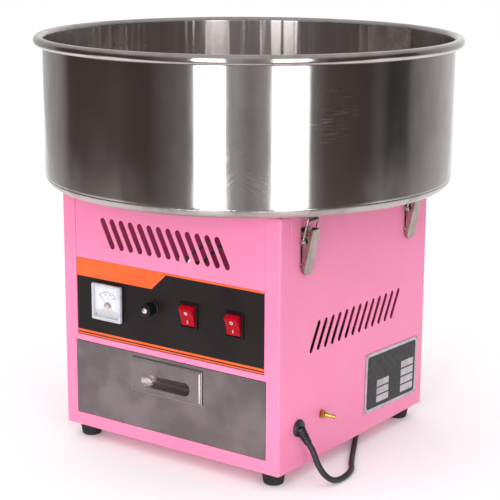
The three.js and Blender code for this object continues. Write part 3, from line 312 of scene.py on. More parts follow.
def join(name, *parts):
    """Joins parts that touch or pass into each other into one piece."""
    choose()
    for part in parts:
        part.select_set(True)
    bpy.context.view_layer.objects.active = parts[0]
    bpy.ops.object.join()
    parts[0].name = name
    return parts[0]


plug_profile = [(0, 0), (4.2, 0), (4.4, 1.2)]
for i in range(5):
    reach = 4.5 + i * 0.55
    foot = 2.6 + i * 3.4
    plug_profile += [(reach - 0.8, foot - 0.6), (reach - 0.8, foot), (reach + 0.1, foot + 0.6),
                     (reach + 0.1, foot + 2.2)]
plug_profile += [(7, 20), (12.5, 20.2), (15.5, 21.6), (17.6, 24.2), (18.5, 27.5), (18.5, 32),
                 (17.7, 34.5), (17.3, 38), (17.4, 43), (17.9, 48), (18.5, 50.5), (18.5, 57.6),
                 (18.1, 59.1), (16.6, 60), (0, 60)]
mains_plug = turned("plug", plug_profile, 40, axis="X")
pins = [turned("plug_pin", [(0, 58), (2.4, 58), (2.4, 76.4), (2.15, 77.9), (1.4, 78.8), (0, 79)],
               16, axis="X", centre=(0, side, 0)) for side in (-9.5, 9.5)]
plug_turn = math.degrees(math.atan2(out_of_coil.y, out_of_coil.x))
for part in [mains_plug, *pins]:
    settle(part, plug_start + out_of_coil * 0.3, (0, 0, plug_turn))
# Nickel plate: bright and a little yellow, with dull patches where it has tarnished
nickel = finish("nickel_plate", {"Metallic": 1, "Roughness": 0.22}, ("#c9c2b2", "#b3ac9d"), (6, 3),
                wear=(0.18, 0.3, 6, 3))
fit(mains_plug, lead_sheath, "cabinet", ["plug"])
plug_pins = fit(join("plug_pins", *pins), nickel, "cabinet")

# Studio
# A strip of white paper, lit to plain white, runs from in front of the machine to far behind it.
# Two tall soft boxes beside the camera show as the bowl's white bands, and the room is dark at both
# sides. A small lamp inside stands for light that bounces between the enamelled walls.
floor_paper = new_material("white_floor_paper", {
    "Roughness": 0.9, "Base Color": colour("#f6f5f6"), "Emission Color": (1, 1, 1, 1),
    "Emission Strength": 0.11})
floor_middle = 3.78
bpy.ops.mesh.primitive_plane_add(size=1)
floor = bpy.context.object
floor.name = "studio_floor"
floor.scale = (2.3, 8.4, 1)
floor.rotation_euler = (0, 0, math.radians(camera_heading))
floor.location = (-math.sin(math.radians(camera_heading)) * floor_middle,
                  math.cos(math.radians(camera_heading)) * floor_middle, -0.0002)
settle(floor)
floor.data.materials.append(floor_paper)

studio = bpy.data.worlds.new("studio")
bpy.context.scene.world = studio
studio.use_nodes = True
outward = add(studio, "TexCoord").outputs["Generated"]
facing = add(studio, "SeparateXYZ", {0: outward})
towards_front = add(studio, "Math", {0: facing.outputs["Y"], 1: -1.0}, operation="MULTIPLY")
azimuth = add(studio, "Math", {0: facing.outputs["X"], 1: towards_front.outputs[0]},
              operation="ARCTAN2")
round_the_room = add(studio, "MapRange", {"Value": azimuth.outputs[0], "From Min": -math.pi,
                                          "From Max": math.pi})
walls = add(studio, "ValToRGB", {0: round_the_room.outputs["Result"]})
# Each stop of the room's wall: its turn from the front in degrees, its brightness, how warm it is
room = [(-180, 0.66, 0), (-155, 0.95, 0), (-120, 0.55, 0), (-89, 0.3, 0), (-80, 0.06, 1),
        (-20, 0.055, 1), (0, 0.2, 0), (30, 0.42, 0), (36, 0.24, 0), (43, 0.38, 0), (70, 0.22, 0),
        (78, 0.09, 1), (104, 0.05, 1), (110, 0.09, 0), (119, 0.03, 0), (131, 0.06, 0),
        (136, 0.2, 0), (180, 0.66, 0)]
stops = walls.color_ramp.elements
while len(stops) < len(room):
    stops.new(0.5)
for stop, (turn, level, warm) in zip(stops, room):
    stop.position = (turn + 180) / 360
    stop.color = [level * (1 + shift * warm) for shift in (0.15, -0.07, -0.14)] + [1]
# The ceiling mirrors as pale grey
overhead = add(studio, "MapRange", {"Value": facing.outputs["Z"], "From Min": 0.3, "From Max": 0.8})
mirrored = add(studio, "Mix", {0: overhead.outputs["Result"], 6: walls.outputs["Color"],
                               7: (0.55, 0.53, 0.55, 1)}, data_type="RGBA")
# Dull surfaces are lit by an even sky instead, stronger from above and from the front left
sideways = add(studio, "VectorMath", {0: outward, 1: (-0.18, -0.12, 0)}, operation="DOT_PRODUCT")
upward = add(studio, "Math", {0: facing.outputs["Z"], 1: 0.0}, operation="MAXIMUM")
upward = add(studio, "Math", {0: upward.outputs[0], 1: 1.15, 2: 0.26}, operation="MULTIPLY_ADD")
soft = add(studio, "Math", {0: sideways.outputs["Value"], 1: upward.outputs[0]})
ray = add(studio, "LightPath")
lit = add(studio, "Mix", {0: ray.outputs["Is Glossy Ray"], 6: soft.outputs[0],
                          7: mirrored.outputs[2]}, data_type="RGBA")
seen = add(studio, "Mix", {0: ray.outputs["Is Camera Ray"], 6: lit.outputs[2], 7: (1, 1, 1, 1)},
           data_type="RGBA")
studio.node_tree.links.new(seen.outputs[2], studio.node_tree.nodes["Background"].inputs["Color"])

# Soft boxes and lamp are placed in metres. The boxes reach from below the floor to above the rim
box_distance, box_foot, box_top = 2.3, -0.9, 1.6
for name, turn, width, power in (("soft_box_left", 16, 0.62, 24),
                                 ("soft_box_right", 56.5, 0.76, 23)):
    turn = math.radians(turn)
    bpy.ops.object.light_add(type="AREA")
    lamp = bpy.context.object
    lamp.name = name
    lamp.data.shape = "RECTANGLE"
    lamp.data.size = width
    lamp.data.size_y = box_top - box_foot
    lamp.data.energy = power
    lamp.location = (math.sin(turn) * box_distance, -math.cos(turn) * box_distance,
                     (box_foot + box_top) / 2)
    lamp.rotation_euler = (math.pi / 2, 0, turn)
    lamp.visible_camera = False
bpy.ops.object.light_add(type="POINT", location=(0, 0.03, 0.27))
lamp = bpy.context.object
lamp.name = "light_bounced_inside"
lamp.data.energy = 0.4
lamp.data.color = (1, 0.55, 0.72)
lamp.data.shadow_soft_size = 0.05
lamp.visible_camera = False

# Feet
# Four tapered rubber feet, moulded with a rounded heel and a sunk ring underneath, each with a
# spigot pressed through the base pan. Rubber is nearly black, dull and picks up lint.
black_rubber = finish("moulded_rubber", {"Roughness": 0.7, "IOR": 1.5}, ("#121213", "#232224"),
                      (5, 5), wear=(0.6, 0.8, 5, 5), skin=(0.03, 0.6))
foot_profile = [(0, 1.6), (5.2, 1.6), (5.6, 0.4), (6.2, 0), (8.9, 0), (10.6, 0.45), (11.8, 1.4),
                (12.35, 2.9), (12.45, 4.2), (14.3, 16.2), (14.5, 17.2), (14.1, 17.7), (3, 17.7),
                (3, 19.2), (0, 19.2)]


def copy_of(part, name, place, turn=None):
    """A copy of a part with its own mesh, settled at a place."""
    copy = part.copy()
    copy.data = part.data.copy()
    bpy.context.scene.collection.objects.link(copy)
    copy.name = name
    return settle(copy, place, turn)


foot = turned("foot", foot_profile, 40)
for side_name, x in (("right", 140), ("left", -140)):
    for end_name, y in (("front", -142), ("back", 142)):
        node = f"foot_{end_name}_{side_name}"
        fit(copy_of(foot, f"{node}_rubber", (x, y, 0)), black_rubber, "cabinet",
            [node])
bpy.data.objects.remove(foot)

# Cabinet shell
# One sheet of 1.2 mm steel folded round three sides, so the front pillars run into the sides over
# a small bend. Windows and vent slots are punched first, and the pink stoving enamel is sprayed
# over all, so it is glossy with a faint orange peel and slightly thin on the edges.
pink_enamel = finish("pink_stoving_enamel",
                     {"Roughness": 0.32, "IOR": 1.42, "Coat Weight": 0.1, "Coat Roughness": 0.15},
                     ("#f58bb4", "#f288b1"), (90, 2), wear=(0.3, 0.35, 30, 3), skin=(0.004, 1.8))
sheet = 1.2
side_face, front_face, back_face = 161.5, -163.5, 163.5
shell_bottom, shell_top = 18, 317.7


def block(name, low, high):
    """A cube put at its size and place, between two corners."""
    choose()
    middle = [(a + b) / 2 * mm for a, b in zip(low, high)]
    bpy.ops.mesh.primitive_cube_add(size=1, location=middle)
    piece = bpy.context.object
    piece.name = name
    piece.scale = [(b - a) * mm for a, b in zip(low, high)]
    return settle(piece)


def pick(piece, mode, wanted):
    """Goes into edit mode with only the faces, edges or corners that a test wants, by their
    middle in millimetres."""
    choose(piece)
    bpy.ops.object.mode_set(mode="EDIT")
    bpy.ops.mesh.select_mode(type=mode)
    bpy.ops.mesh.select_all(action="DESELECT")
    bpy.ops.object.mode_set(mode="OBJECT")
    corners = piece.data.vertices
    groups = {"VERT": corners, "EDGE": piece.data.edges, "FACE": piece.data.polygons}[mode]
    for item in groups:
        ends = [item] if mode == "VERT" else [corners[i] for i in item.vertices]
        middle = sum((c.co for c in ends), Vector()) / len(ends) / mm
        normal = item.normal if mode == "FACE" else ends[-1].co - ends[0].co
        item.select = bool(wanted(middle, normal))
    bpy.ops.object.mode_set(mode="EDIT")


def done():
    """Leaves edit mode, with corners as what a selection takes, as the other helpers expect."""
    bpy.ops.mesh.select_mode(type="VERT")
    bpy.ops.object.mode_set(mode="OBJECT")


def arc(cx, cz, radius, start, end, steps):
    """Points of a round stretch, from one angle to another in degrees."""
    turns = [math.radians(start + (end - start) * i / steps) for i in range(steps + 1)]
    return [(cx + radius * math.cos(a), cz + radius * math.sin(a)) for a in turns]


def soften(piece, width, segments=2, angle=35):
    """Rounds the sharp edges of a piece."""
    return modify(piece, "BEVEL", width=width * mm, segments=segments, limit_method="ANGLE",
                  angle_limit=math.radians(angle), use_clamp_overlap=True)


def combine(piece, *others, operation="DIFFERENCE"):
    """Cuts others out of a piece, or unites or keeps what they share, and clears them away."""
    for other in others:
        modify(piece, "BOOLEAN", operation=operation, object=other, solver="EXACT")
        bpy.data.objects.remove(other)
    return piece


def slot_cutters(count, middle, height, pitch, length, width, lean, place):
    """A row of obround punches. Place turns a point of the sheet's face into one in space."""
    reach = (length - width) / 2
    ends = arc(0, reach, width / 2, 0, 180, 8) + arc(0, -reach, width / 2, 180, 360, 8)
    turn = math.radians(lean)
    cutters = []
    for i in range(count):
        across = middle + (i - (count - 1) / 2) * pitch
        ring = [(across + a * math.cos(turn) - b * math.sin(turn),
                 height + a * math.sin(turn) + b * math.cos(turn)) for a, b in ends]
        near, far = [Vector(place(*ring[0], depth)) for depth in (-3, 5)]
        cutters.append(drawn("punch", [place(u, v, -3) for u, v in ring], thick=far - near))
    return join("punches", *cutters)


side_vents = (13, 0, 168, 15.1, 40.2, 7.1)
shell = block("cabinet_shell", (-side_face, front_face, shell_bottom),
              (side_face, back_face, shell_top))
pick(shell, "FACE", lambda middle, normal: abs(normal.z) > 0.9 or normal.y > 0.9)
bpy.ops.mesh.delete(type="FACE")
done()
pick(shell, "EDGE", lambda middle, run: abs(run.z) > 0.1 and middle.y < 0)
bpy.ops.mesh.bevel(offset=2.6 * mm, segments=6, affect="EDGES")
done()
modify(shell, "SOLIDIFY", thickness=sheet * mm, offset=-1)
combine(
    shell,
    block("drawer_window", (-143.2, -170, 34.2), (143.2, -155, 128.8)),
    block("panel_window", (-141.3, -170, 136.0), (141.3, -155, 330)),
    block("crease", (160.9, -144.8, 294), (165, -142.6, 330)),
    slot_cutters(*side_vents, -28.9, lambda u, v, d: (side_face - d, u, v)),
    slot_cutters(*side_vents, 28.9, lambda u, v, d: (-side_face + d, u, v)),
    turned("gland_hole", [(0, 150), (6.3, 150), (6.3, 170), (0, 170)], 32, (0, -124.5, 66.5), "X"),
    turned("earth_hole", [(0, 150), (2.7, 150), (2.7, 170), (0, 170)], 24, (0, -75.5, 70), "X"))
soften(shell, 0.3, 2)
fit(shell, pink_enamel, "cabinet",
    ["front_frame", "side_panel_left", "side_panel_right"])

# Back panel
# A flat sheet set in between the sides, with its own row of vents.
back = block("back_sheet", (-160.0, 162.3, 19.5), (160.0, 163.5, 317.7))
combine(back, slot_cutters(13, 0, 225, 15.1, 40.2, 7.1, 28.9,
                           lambda u, v, d: (u, back_face - d, v)))
soften(back, 0.3, 2)
fit(back, pink_enamel, "cabinet", ["back_panel"])

# Base pan and top deck
# Folded trays of the same enamelled sheet that close the shell below and above.


def dress(material, *nodes):
    """Gives CAD nodes a material."""
    for name in nodes:
        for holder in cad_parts[name].material_slots:
            holder.material = material


dress(pink_enamel, "base_pan", "top_deck")

# Front panel
# The enamelled sheet behind the pillars. Its upper half has the cooling slots, and its lower half
# has the holes for the four instruments under the label film.
panel = block("vent_panel", (-141.0, -163.0, 136.3), (141.0, -161.8, 317.7))


def instrument_holes(low, high):
    """Punches for the voltmeter, the fuse holder and the two switches."""
    meter_hole = turned("punch", [(0, low), (19.3, low), (19.3, high), (0, high)], 64,
                        (-89.2, 0, 184.1), "Y")
    fuse_hole = turned("punch", [(0, low), (6.7, low), (6.7, high), (0, high)], 40,
                       (-21, 0, 188), "Y")
    openings = [block("punch", (x - 11.7, low, 173.8), (x + 11.7, high, 203.2))
                for x in (33.4, 98.9)]
    return [meter_hole, fuse_hole, *openings]


combine(panel, slot_cutters(13, -4.8, 268.9, 14.25, 40.3, 7.8, 26.3,
                            lambda u, v, d: (u, -163.0 + d, v)),
        *instrument_holes(-170, -155))
soften(panel, 0.3, 2)
fit(panel, pink_enamel, "cabinet", ["front_panel"])

# Wiring loom
# Three stranded wires in coloured PVC, twisted together, that run from the power switch behind the
# slots to the motor. The blue one shows through the slots at the right, smooth and a little shiny.
loom_route = [
    (98.9, -150, 203.2), (98, -150, 220), (93, -150, 244), (83, -150, 264), (69.4, -150, 271.9),
    (57.4, -150, 264), (47.5, -150, 252.5), (33.1, -149, 249), (18, -142, 239), (-4, -124, 229),
    (-30, -94, 225), (-52, -50, 227), (-62, 0, 235), (-62, 50, 250), (-56, 82, 262), (-48, 92, 266),
]
loom_line = smooth_route(loom_route, 8)
wire_shades = (("blue", "#1c3f9e"), ("red", "#9c1620"), ("green", "#5d8f1e"))
for i, (wire_name, shade) in enumerate(wire_shades):
    insulation = finish(f"pvc_wire_{wire_name}", {"Roughness": 0.4}, (shade, "#2a2430"), (12,),
                        wear=(0.35, 0.5, 5), spread=False)
    strand = []
    for step, point in enumerate(loom_line):
        ahead = loom_line[min(step + 1, len(loom_line) - 1)] - loom_line[max(step - 1, 0)]
        across = ahead.cross(Vector((0.3, 0.2, 1))).normalized()
        upward = ahead.cross(across).normalized()
        turn = i * 2 * math.pi / 3 + step * 0.35
        strand.append(point + (across * math.cos(turn) + upward * math.sin(turn)) * 1.6)
    wire = curve_piece(f"loom_{wire_name}", [strand], 2.5, 10)
    fit(wire, insulation, "cabinet", ["wiring_loom"])

# Drive parts
# The motor, its pulleys and belt, the bearing housing, the spindle with its slip rings and the
# brush block sit inside the cabinet and show only through the slots and with the drawer out. The
# motor's enamel is dull grey, the castings are pale and pitted, and the rings are worn copper.
motor_enamel = finish("motor_enamel", {"Roughness": 0.55}, ("#33363b", "#43474d"), (14, 4),
                      skin=(0.03, 1.5))
cast_aluminium = finish("cast_aluminium", {"Metallic": 1, "Roughness": 0.42},
                        ("#b9bbbe", "#9fa1a4"), (25, 4), wear=(0.34, 0.52, 8, 3),
                        skin=(0.03, 1.1, 3))
slip_copper = finish("slip_ring_copper", {"Metallic": 1, "Roughness": 0.3}, ("#b87348", "#8c5236"),
                     (5, 3), wear=(0.2, 0.42, 0.8, 2, (1, 1, 8)))
dress(motor_enamel, "motor")
dress(cast_aluminium, "bearing_housing", "spindle", "motor_pulley")
# Black ABS: an even, fine moulded grain with a soft sheen
black_moulding = finish("black_abs", {"Roughness": 0.38, "IOR": 1.53}, ("#161618", "#202023"),
                        (15, 3), wear=(0.32, 0.45, 4, 3), skin=(0.015, 0.5))
dress(slip_copper, "slip_rings")
dress(black_moulding, "brush_block")
dress(black_rubber, "drive_belt")

# Drawer tray and runners
# A folded tray with its back wall on two pressed runners, all of zinc-plated steel that is cool
# grey with the cloudy spangle of the bath.
zinc_plate = finish("zinc_plated_steel", {"Metallic": 1, "Roughness": 0.38},
                    ("#aeb2b8", "#94989e"), (11, 2, (1, 1, 1), 0.3),
                    wear=(0.3, 0.46, 11, 2, (1, 1, 1), 0.3), skin=(0.01, 2.5))
dress(zinc_plate, "runner_left", "runner_right", "drawer_tray", "drawer_back")

# Control label
# A black polyester film stuck over the lower part of the front panel, with an orange band along
# its top that narrows to a line, and two lines along its foot. It is printed behind and looks matt.
label_film = finish("printed_polyester_film", {"Roughness": 0.45, "Specular IOR Level": 0.2},
                    ("#1e1718", "#241c1d"), (60, 3), wear=(0.42, 0.5, 20, 3), skin=(0.004, 0.7))
label_orange = finish("orange_print", {"Roughness": 0.45, "Specular IOR Level": 0.3},
                      ("#f5622b", "#f76a32"), (30, 3))
film_face = -163.3
label = block("label_film", (-140.2, film_face, 136.8), (140.2, -163.05, 233.7))
combine(label, *instrument_holes(-170, -155))
fit(label, label_film, "cabinet", ["control_label"])
band = drawn("label_band", [(x, film_face, z) for x, z in (
    (-140.1, 211), (-22.8, 211), (-0.7, 231.2), (140.1, 231.2), (140.1, 233.6), (-140.1, 233.6))],
             thick=(0, -0.05, 0))
lines = [block("label_line", (-140.1, film_face - 0.05, low), (140.1, film_face, high))
         for low, high in ((140.5, 143.2), (137.4, 139.0))]
fit(join("label_print", band, *lines), label_orange, "cabinet")

# Voltmeter
# A 45 mm panel meter: a black ABS case with a round back, a white card dial with a printed scale,
# a needle on a turned hub, and a moulded clear cover with a frosted skirt over the movement.
meter_x, meter_z, needle_z = -89.2, 184.1, 180.0


def meter_block(name, half, near, far, low=None, high=None):
    """A block about the middle of the meter, as high as it is wide where no heights are given."""
    return block(name, (meter_x - half, near, meter_z + (-half if low is None else low)),
                 (meter_x + half, far, meter_z + (half if high is None else high)))


case = meter_block("meter_case", 22.5, -165.0, -163.6)
soften(case, 0.5, 3)
case_back = turned("meter_back", [(0, -164), (19, -164), (19, -138.6), (18, -137.6), (0, -137.6)],
                   48, (meter_x, 0, meter_z), "Y")
fit(join("voltmeter_body", case, case_back), black_moulding, "cabinet",
    ["voltmeter_case"])

# Card printed white and a little blue, without gloss
dial_card = finish("dial_card", {"Roughness": 0.55}, ("#dfe2ec", "#e8ebf3"), (12, 3))
dial = meter_block("dial_card", 20.7, -165.8, -165.3)
soften(dial, 0.15, 2)
fit(dial, dial_card, "cabinet", ["voltmeter_dial"])


def dial_point(angle, radius, depth=-165.8):
    """A point on the dial at an angle from upright, clockwise."""
    turn = math.radians(angle)
    return (meter_x + radius * math.sin(turn), depth, needle_z + radius * math.cos(turn))


def scale_part(name, start, end, inner, outer):
    """A printed piece of the scale: part of a ring or one tick."""
    steps = max(1, round((end - start) / 4))
    turns = [start + (end - start) * i / steps for i in range(steps + 1)]
    ring = [dial_point(a, outer) for a in turns] + [dial_point(a, inner) for a in reversed(turns)]
    return drawn(name, ring, thick=(0, -0.05, 0))


# Thin inks that look faded behind the cover
dial_ink = finish("dial_ink", {"Roughness": 0.5}, ("#4a4a66", "#5a5a78"), (8,), spread=False)
red_ink = finish("dial_red_ink", {"Roughness": 0.5}, ("#e08c94", "#d87a84"), (8,), spread=False)
black_marks = [scale_part("scale", -22, 50, 16.7, 17.2)]
for i in range(31):
    angle = -50 + i * 10 / 3
    reach = 19.6 if i % 10 == 0 else 18.7 if i % 5 == 0 else 18.1
    black_marks.append(scale_part("tick", angle - 0.3, angle + 0.3, 17.2, reach))


def as_mesh(piece):
    """Turns a curve or a figure into a mesh."""
    choose(piece)
    bpy.ops.object.convert(target="MESH")
    return bpy.context.object


for figure, angle in (("0", -45), ("100", -15), ("200", 15), ("300", 45), ("V", 0)):
    choose()
    bpy.ops.object.text_add()
    mark = bpy.context.object
    mark.data.body = figure
    mark.data.align_x = mark.data.align_y = "CENTER"
    mark.data.size = 3.2 * mm
    mark.data.extrude = 0.025 * mm
    place = dial_point(angle, 9.8 if figure == "V" else 14, -165.83)
    black_marks.append(settle(as_mesh(mark), place, (90, 0, 0)))
fit(join("dial_marks", *black_marks), dial_ink, "cabinet", smooth=0)
fit(scale_part("dial_red_mark", -50, -22, 16.5, 17.4), red_ink, "cabinet", smooth=0)

# The skirt is moulded clear acrylic with a frosted back, so it is a milky grey over the movement
frosted = finish("frosted_acrylic", {"Roughness": 0.5, "Alpha": 0.72}, ("#d6d2d4", "#e6e3e6"),
                 (9, 3))
skirt_edge = [(-20.4, -20.4), (20.4, -20.4), (20.4, -10.4), *arc(0, -9.6, 7.4, 0, 180, 16),
              (-20.4, -10.4)]
skirt = drawn("meter_skirt", [(meter_x + a, -166.4, meter_z + b) for a, b in skirt_edge],
              thick=(0, 0.5, 0))
soften(skirt, 0.15, 2)
fit(skirt, frosted, "cabinet")
# The movement is a brown moulding and the needle is lacquered pale, so both show only softly
movement_moulding = finish("movement_phenolic", {"Roughness": 0.35}, ("#3a1f1a", "#58352c"),
                           (3,), spread=False)
dome = drawn("movement_dome", [(meter_x + a, -166.5, meter_z + b) for a, b in
                               arc(0, -5.4, 5.6, 0, 180, 20)], thick=(0, 0.6, 0))
fit(dome, movement_moulding, "cabinet")
needle_hub = turned("needle_hub", [(0, 0), (2.3, 0), (2.3, 1.3), (1.9, 1.9), (1.1, 2.0), (0.9, 1.6),
                                   (0, 1.6)], 32, (0, -166.6, 0), "-Y")
pointer = drawn("pointer", [(-0.35, -166.7, 0), (0.35, -166.7, 0), (0.12, -166.7, 17.6),
                            (-0.12, -166.7, 17.6)], thick=(0, -0.3, 0))
tail_weight = drawn("tail_weight", [(-0.6, -166.7, 0), (-1, -166.7, -4.6), (1, -166.7, -4.6),
                                    (0.6, -166.7, 0)], thick=(0, -0.3, 0))
needle_lacquer = finish("needle_lacquer", {"Roughness": 0.3, "Metallic": 0.2},
                        ("#e3b7ad", "#c9988e"), (3,), spread=False)
needle = join("needle", needle_hub, pointer, tail_weight)
settle(needle, (meter_x, 0, needle_z), (0, -45, 0))
fit(needle, needle_lacquer, "needle", ["voltmeter_needle"])

# The window is polished acrylic and nearly all see-through, and the walls round it scatter light
clear_acrylic = finish("clear_acrylic", {"Roughness": 0.06, "IOR": 1.49, "Alpha": 0.12},
                       ("#f3f5fa", "#ffffff"), (9,), wear=(0.04, 0.1, 7, 3), spread=False)
milky_acrylic = finish("acrylic_walls", {"Roughness": 0.3, "IOR": 1.49, "Alpha": 0.8},
                       ("#cdccd4", "#e0dfe6"), (5, 3), wear=(0.22, 0.4, 7, 3))
window = meter_block("meter_window", 19.4, -169.9, -168.7, -18.4, 20.4)
fit(window, clear_acrylic, "cabinet", ["voltmeter_cover"])
cover_walls = meter_block("meter_cover", 22.5, -170.1, -165.3)
soften(cover_walls, 1.2, 4)
combine(cover_walls, meter_block("cover_room", 21, -168.6, -160),
        meter_block("cover_window", 19.4, -175, -160, -18.4, 20.4))
fit(cover_walls, milky_acrylic, "cabinet")
for side in (-1, 1):
    screw_x = meter_x + side * 17.2
    screw = turned("meter_screw", [(0, 0), (1.5, 0), (1.5, 0.5), (1.1, 0.9), (0, 1.0)], 24,
                   (screw_x, -166.45, meter_z - 16.6), "-Y")
    combine(screw, block("drive", (screw_x - 0.2, -168, meter_z - 19),
                         (screw_x + 0.2, -167.1, meter_z - 14)))
    fit(screw, nickel, "cabinet")

# Fuse holder
# A black moulded screw cap with a fluted grip on a flanged socket that passes through the panel,
# with the bright end of its spring contact in the middle of the cap.
fuse_centre = (-21, 0, 188)
holder = turned("fuse_socket", [(6.3, -165.4), (8.6, -165.4), (9, -165.0), (9, -163.6),
                                (6.4, -163.6), (6.4, -128.1), (5.9, -127.6), (0, -127.6),
                                (0, -129), (5, -129), (5, -165.0), (6.3, -165.4)],
                48, fuse_centre, "Y")
fit(holder, black_moulding, "cabinet", ["fuse_holder"])
# Phenolic: deeper black than the ABS and duller
phenolic = finish("black_phenolic", {"Roughness": 0.4, "Specular IOR Level": 0.3},
                  ("#0b0d0c", "#121514"), (4,), wear=(0.32, 0.46, 3, 3), spread=False)
cap = turned("fuse_cap_grip", [(0, -178.0), (3.6, -178.0), (3.9, -177.6), (5.9, -177.6),
                               (7.2, -177.2), (7.7, -176.2), (7.9, -167.6), (8, -167.2),
                               (8, -165.7), (4.7, -165.7), (4.7, -143.4), (0, -143.4)],
             48, fuse_centre, "Y")
pick(cap, "FACE", lambda middle, normal: -177 < middle.y < -167.4
     and abs(normal.y) < 0.4 and math.hypot(middle.x + 21, middle.z - 188) > 7
     and round(math.degrees(math.atan2(middle.z - 188, middle.x + 21)) / 7.5 - 0.5) % 2 == 0)
bpy.ops.mesh.inset(thickness=0.12 * mm, depth=-0.35 * mm, use_individual=True)
done()
fit(cap, phenolic, "fuse_cap", ["fuse_cap"])
tip = turned("fuse_tip", [(0, -180.6), (1.2, -180.5), (2.3, -180.1), (3.1, -179.3),
                          (3.5, -178.2), (3.5, -177.5), (0, -177.5)], 32, fuse_centre, "Y")
combine(tip, block("drive", (-24.6, -182, 187.6), (-17.4, -180, 188.4)))
# Satin nickel: pale, with one wide soft highlight
satin_nickel = finish("satin_nickel", {"Metallic": 1, "Roughness": 0.36}, ("#fbfaf8", "#e9e6e2"),
                      (2,), wear=(0.3, 0.42, 2), spread=False)
fit(tip, satin_nickel, "fuse_cap")

# Rocker switches
# A black phenolic bezel with a stepped well on a housing behind the panel, and a polycarbonate
# rocker with a hollow face, marked with a white ring and bar. The red lets some light in and has
# a soft gloss, and the pad-printed marks are dull.
red_rocker = finish("red_polycarbonate",
                    {"Roughness": 0.32, "IOR": 1.4, "Subsurface Weight": 0.1,
                     "Subsurface Scale": 0.002, "Specular IOR Level": 0.16},
                    ("#b0081f", "#a2061b"), (6, 2), wear=(0.26, 0.36, 5, 2))
white_ink = finish("white_pad_print", {"Roughness": 0.45}, ("#fbf3f3", "#f3e4e6"), (2,),
                   spread=False)
switch_z, rocker_pivot = 188.5, -161.6
rocker_rest, face_lean = 17, 7
for switch, x in (("heat", 33.4), ("power", 98.9)):
    def switch_block(name, width, near, far, height):
        return block(name, (x - width, near, switch_z - height),
                     (x + width, far, switch_z + height))

    bezel = switch_block(f"switch_frame_{switch}", 13, -165.6, -163.6, 15)
    soften(bezel, 0.5, 3)
    combine(bezel, switch_block("housing", 11.4, -164.6, -141.6, 14.4), operation="UNION")
    combine(bezel, switch_block("well_step", 10.4, -170, -164.9, 14),
            switch_block("well", 9.8, -170, -143.2, 13.4))
    soften(bezel, 0.15, 2)
    fit(bezel, phenolic, "cabinet", [f"switch_bezel_{switch}"])
    face = [(-6.4 - 1.2 * (abs(z) / 10.4) ** 1.3, z) for z in
            (-10.4, -8.4, -6.2, -4, -2, -0.8, 0, 0.8, 2, 4, 6.2, 8.4, 10.4)]
    top_end = arc(0, 0, 12.88, 126.2, 90, 6)[1:-1]
    belly = [(5 * math.cos(a), 12.88 * math.sin(a)) for a in
             [math.radians(90 - 15 * i) for i in range(13)]]
    low_end = [(y, -z) for y, z in reversed(top_end)]
    rocker = drawn("rocker", [(-9.5, y, z) for y, z in face + top_end + belly + low_end],
                   thick=(19, 0, 0))
    soften(rocker, 0.6, 3, 30)
    pin_bar = turned("rocker_pin", [(0, -10.5), (1.2, -10.5), (1.2, 10.5), (0, 10.5)], 16, axis="X")
    ring = turned("ring_mark", [(1.35, 0), (2.1, 0), (2.1, 0.25), (1.35, 0.25), (1.35, 0)], 32)
    bar_mark = block("bar_mark", (-0.4, -0.12, -2.1), (0.4, 0.12, 2.1))
    marks = join(f"rocker_marks_{switch}", settle(ring, (0, -6.85, 5.6), (90 + face_lean, 0, 0)),
                 settle(bar_mark, (0, -6.95, -5.8), (-face_lean, 0, 0)))
    rocker = join(f"rocker_red_{switch}", rocker, pin_bar)
    for part in (rocker, marks):
        settle(part, (x, rocker_pivot, switch_z), (rocker_rest, 0, 0))
    fit(rocker, red_rocker, f"rocker_{switch}", [f"rocker_{switch}"])
    fit(marks, white_ink, f"rocker_{switch}")

# Drawer front
# A flat stainless front, linished along its length and smudged by hands, with a cut-out behind the
# pull. Its edges are broken by hand. Real linishing lines are finer: these are drawn 0.7 mm apart,
# so that they show.
drawer_steel = finish("linished_stainless", {"Metallic": 1, "Roughness": 0.4},
                      ("#908687", "#7f7677"), (45, 4), wear=(0.36, 0.46, 45, 4),
                      skin=(0.008, 0.7, 4, (0.08, 1, 1), 0.7))
front = block("drawer_face", (-142.7, -163.8, 34.7), (142.7, -162.6, 128.3))
scoop_z = 97.8


def obround(name, length, height, near, far, taper=0):
    """An obround block that lies along X in front of the drawer. Its ends lean in by a taper."""
    reach = (length - height) / 2
    ring = (arc(reach, scoop_z, height / 2, -90, 90, 16)
            + arc(-reach, scoop_z, height / 2, 90, 270, 16))
    piece = drawn(name, [(a, near, b) for a, b in ring], thick=(0, far - near, 0))
    if taper:
        pick(piece, "FACE", lambda middle, normal: abs(middle.y - far) < 0.1)
        bpy.ops.transform.resize(value=(1 - 2 * taper / length, 1, 1), center_override=(0, 0, 0))
        done()
    return piece


combine(front, obround("cut_out", 79, 20, -170, -155))
soften(front, 0.35, 2)
fit(front, drawer_steel, "drawer", ["drawer_front"])

# Drawer pull
# A stainless plate with a stepped edge, and a finger scoop pressed into it that is shallow at the
# top and deep at the bottom, so the fingertips hook behind its lower lip.
pull_back, pull_face = -164.1, -167.1


def scoop_solid(name, grow):
    """The scoop's hollow, or its shell's outside where it has grown by a wall."""
    height, length, depth = 17 + 2 * grow, 76 + 2 * grow, 10 + grow
    top, bottom = scoop_z + height / 2, scoop_z - height / 2
    curve = [(pull_face + depth * math.sin(i / 16 * math.pi / 2) ** 1.2,
              top - (height - 3) * i / 16) for i in range(17)]
    side = [(pull_face - 2, top), *curve, (pull_face + depth, bottom + 0.6),
            (pull_face + depth - 0.8, bottom), (pull_face - 2, bottom)]
    cross = drawn("cross", [(-50, y, z) for y, z in side], thick=(100, 0, 0))
    return combine(obround(name, length, height, pull_face - 2, pull_face + depth, 8), cross,
                   operation="INTERSECT")


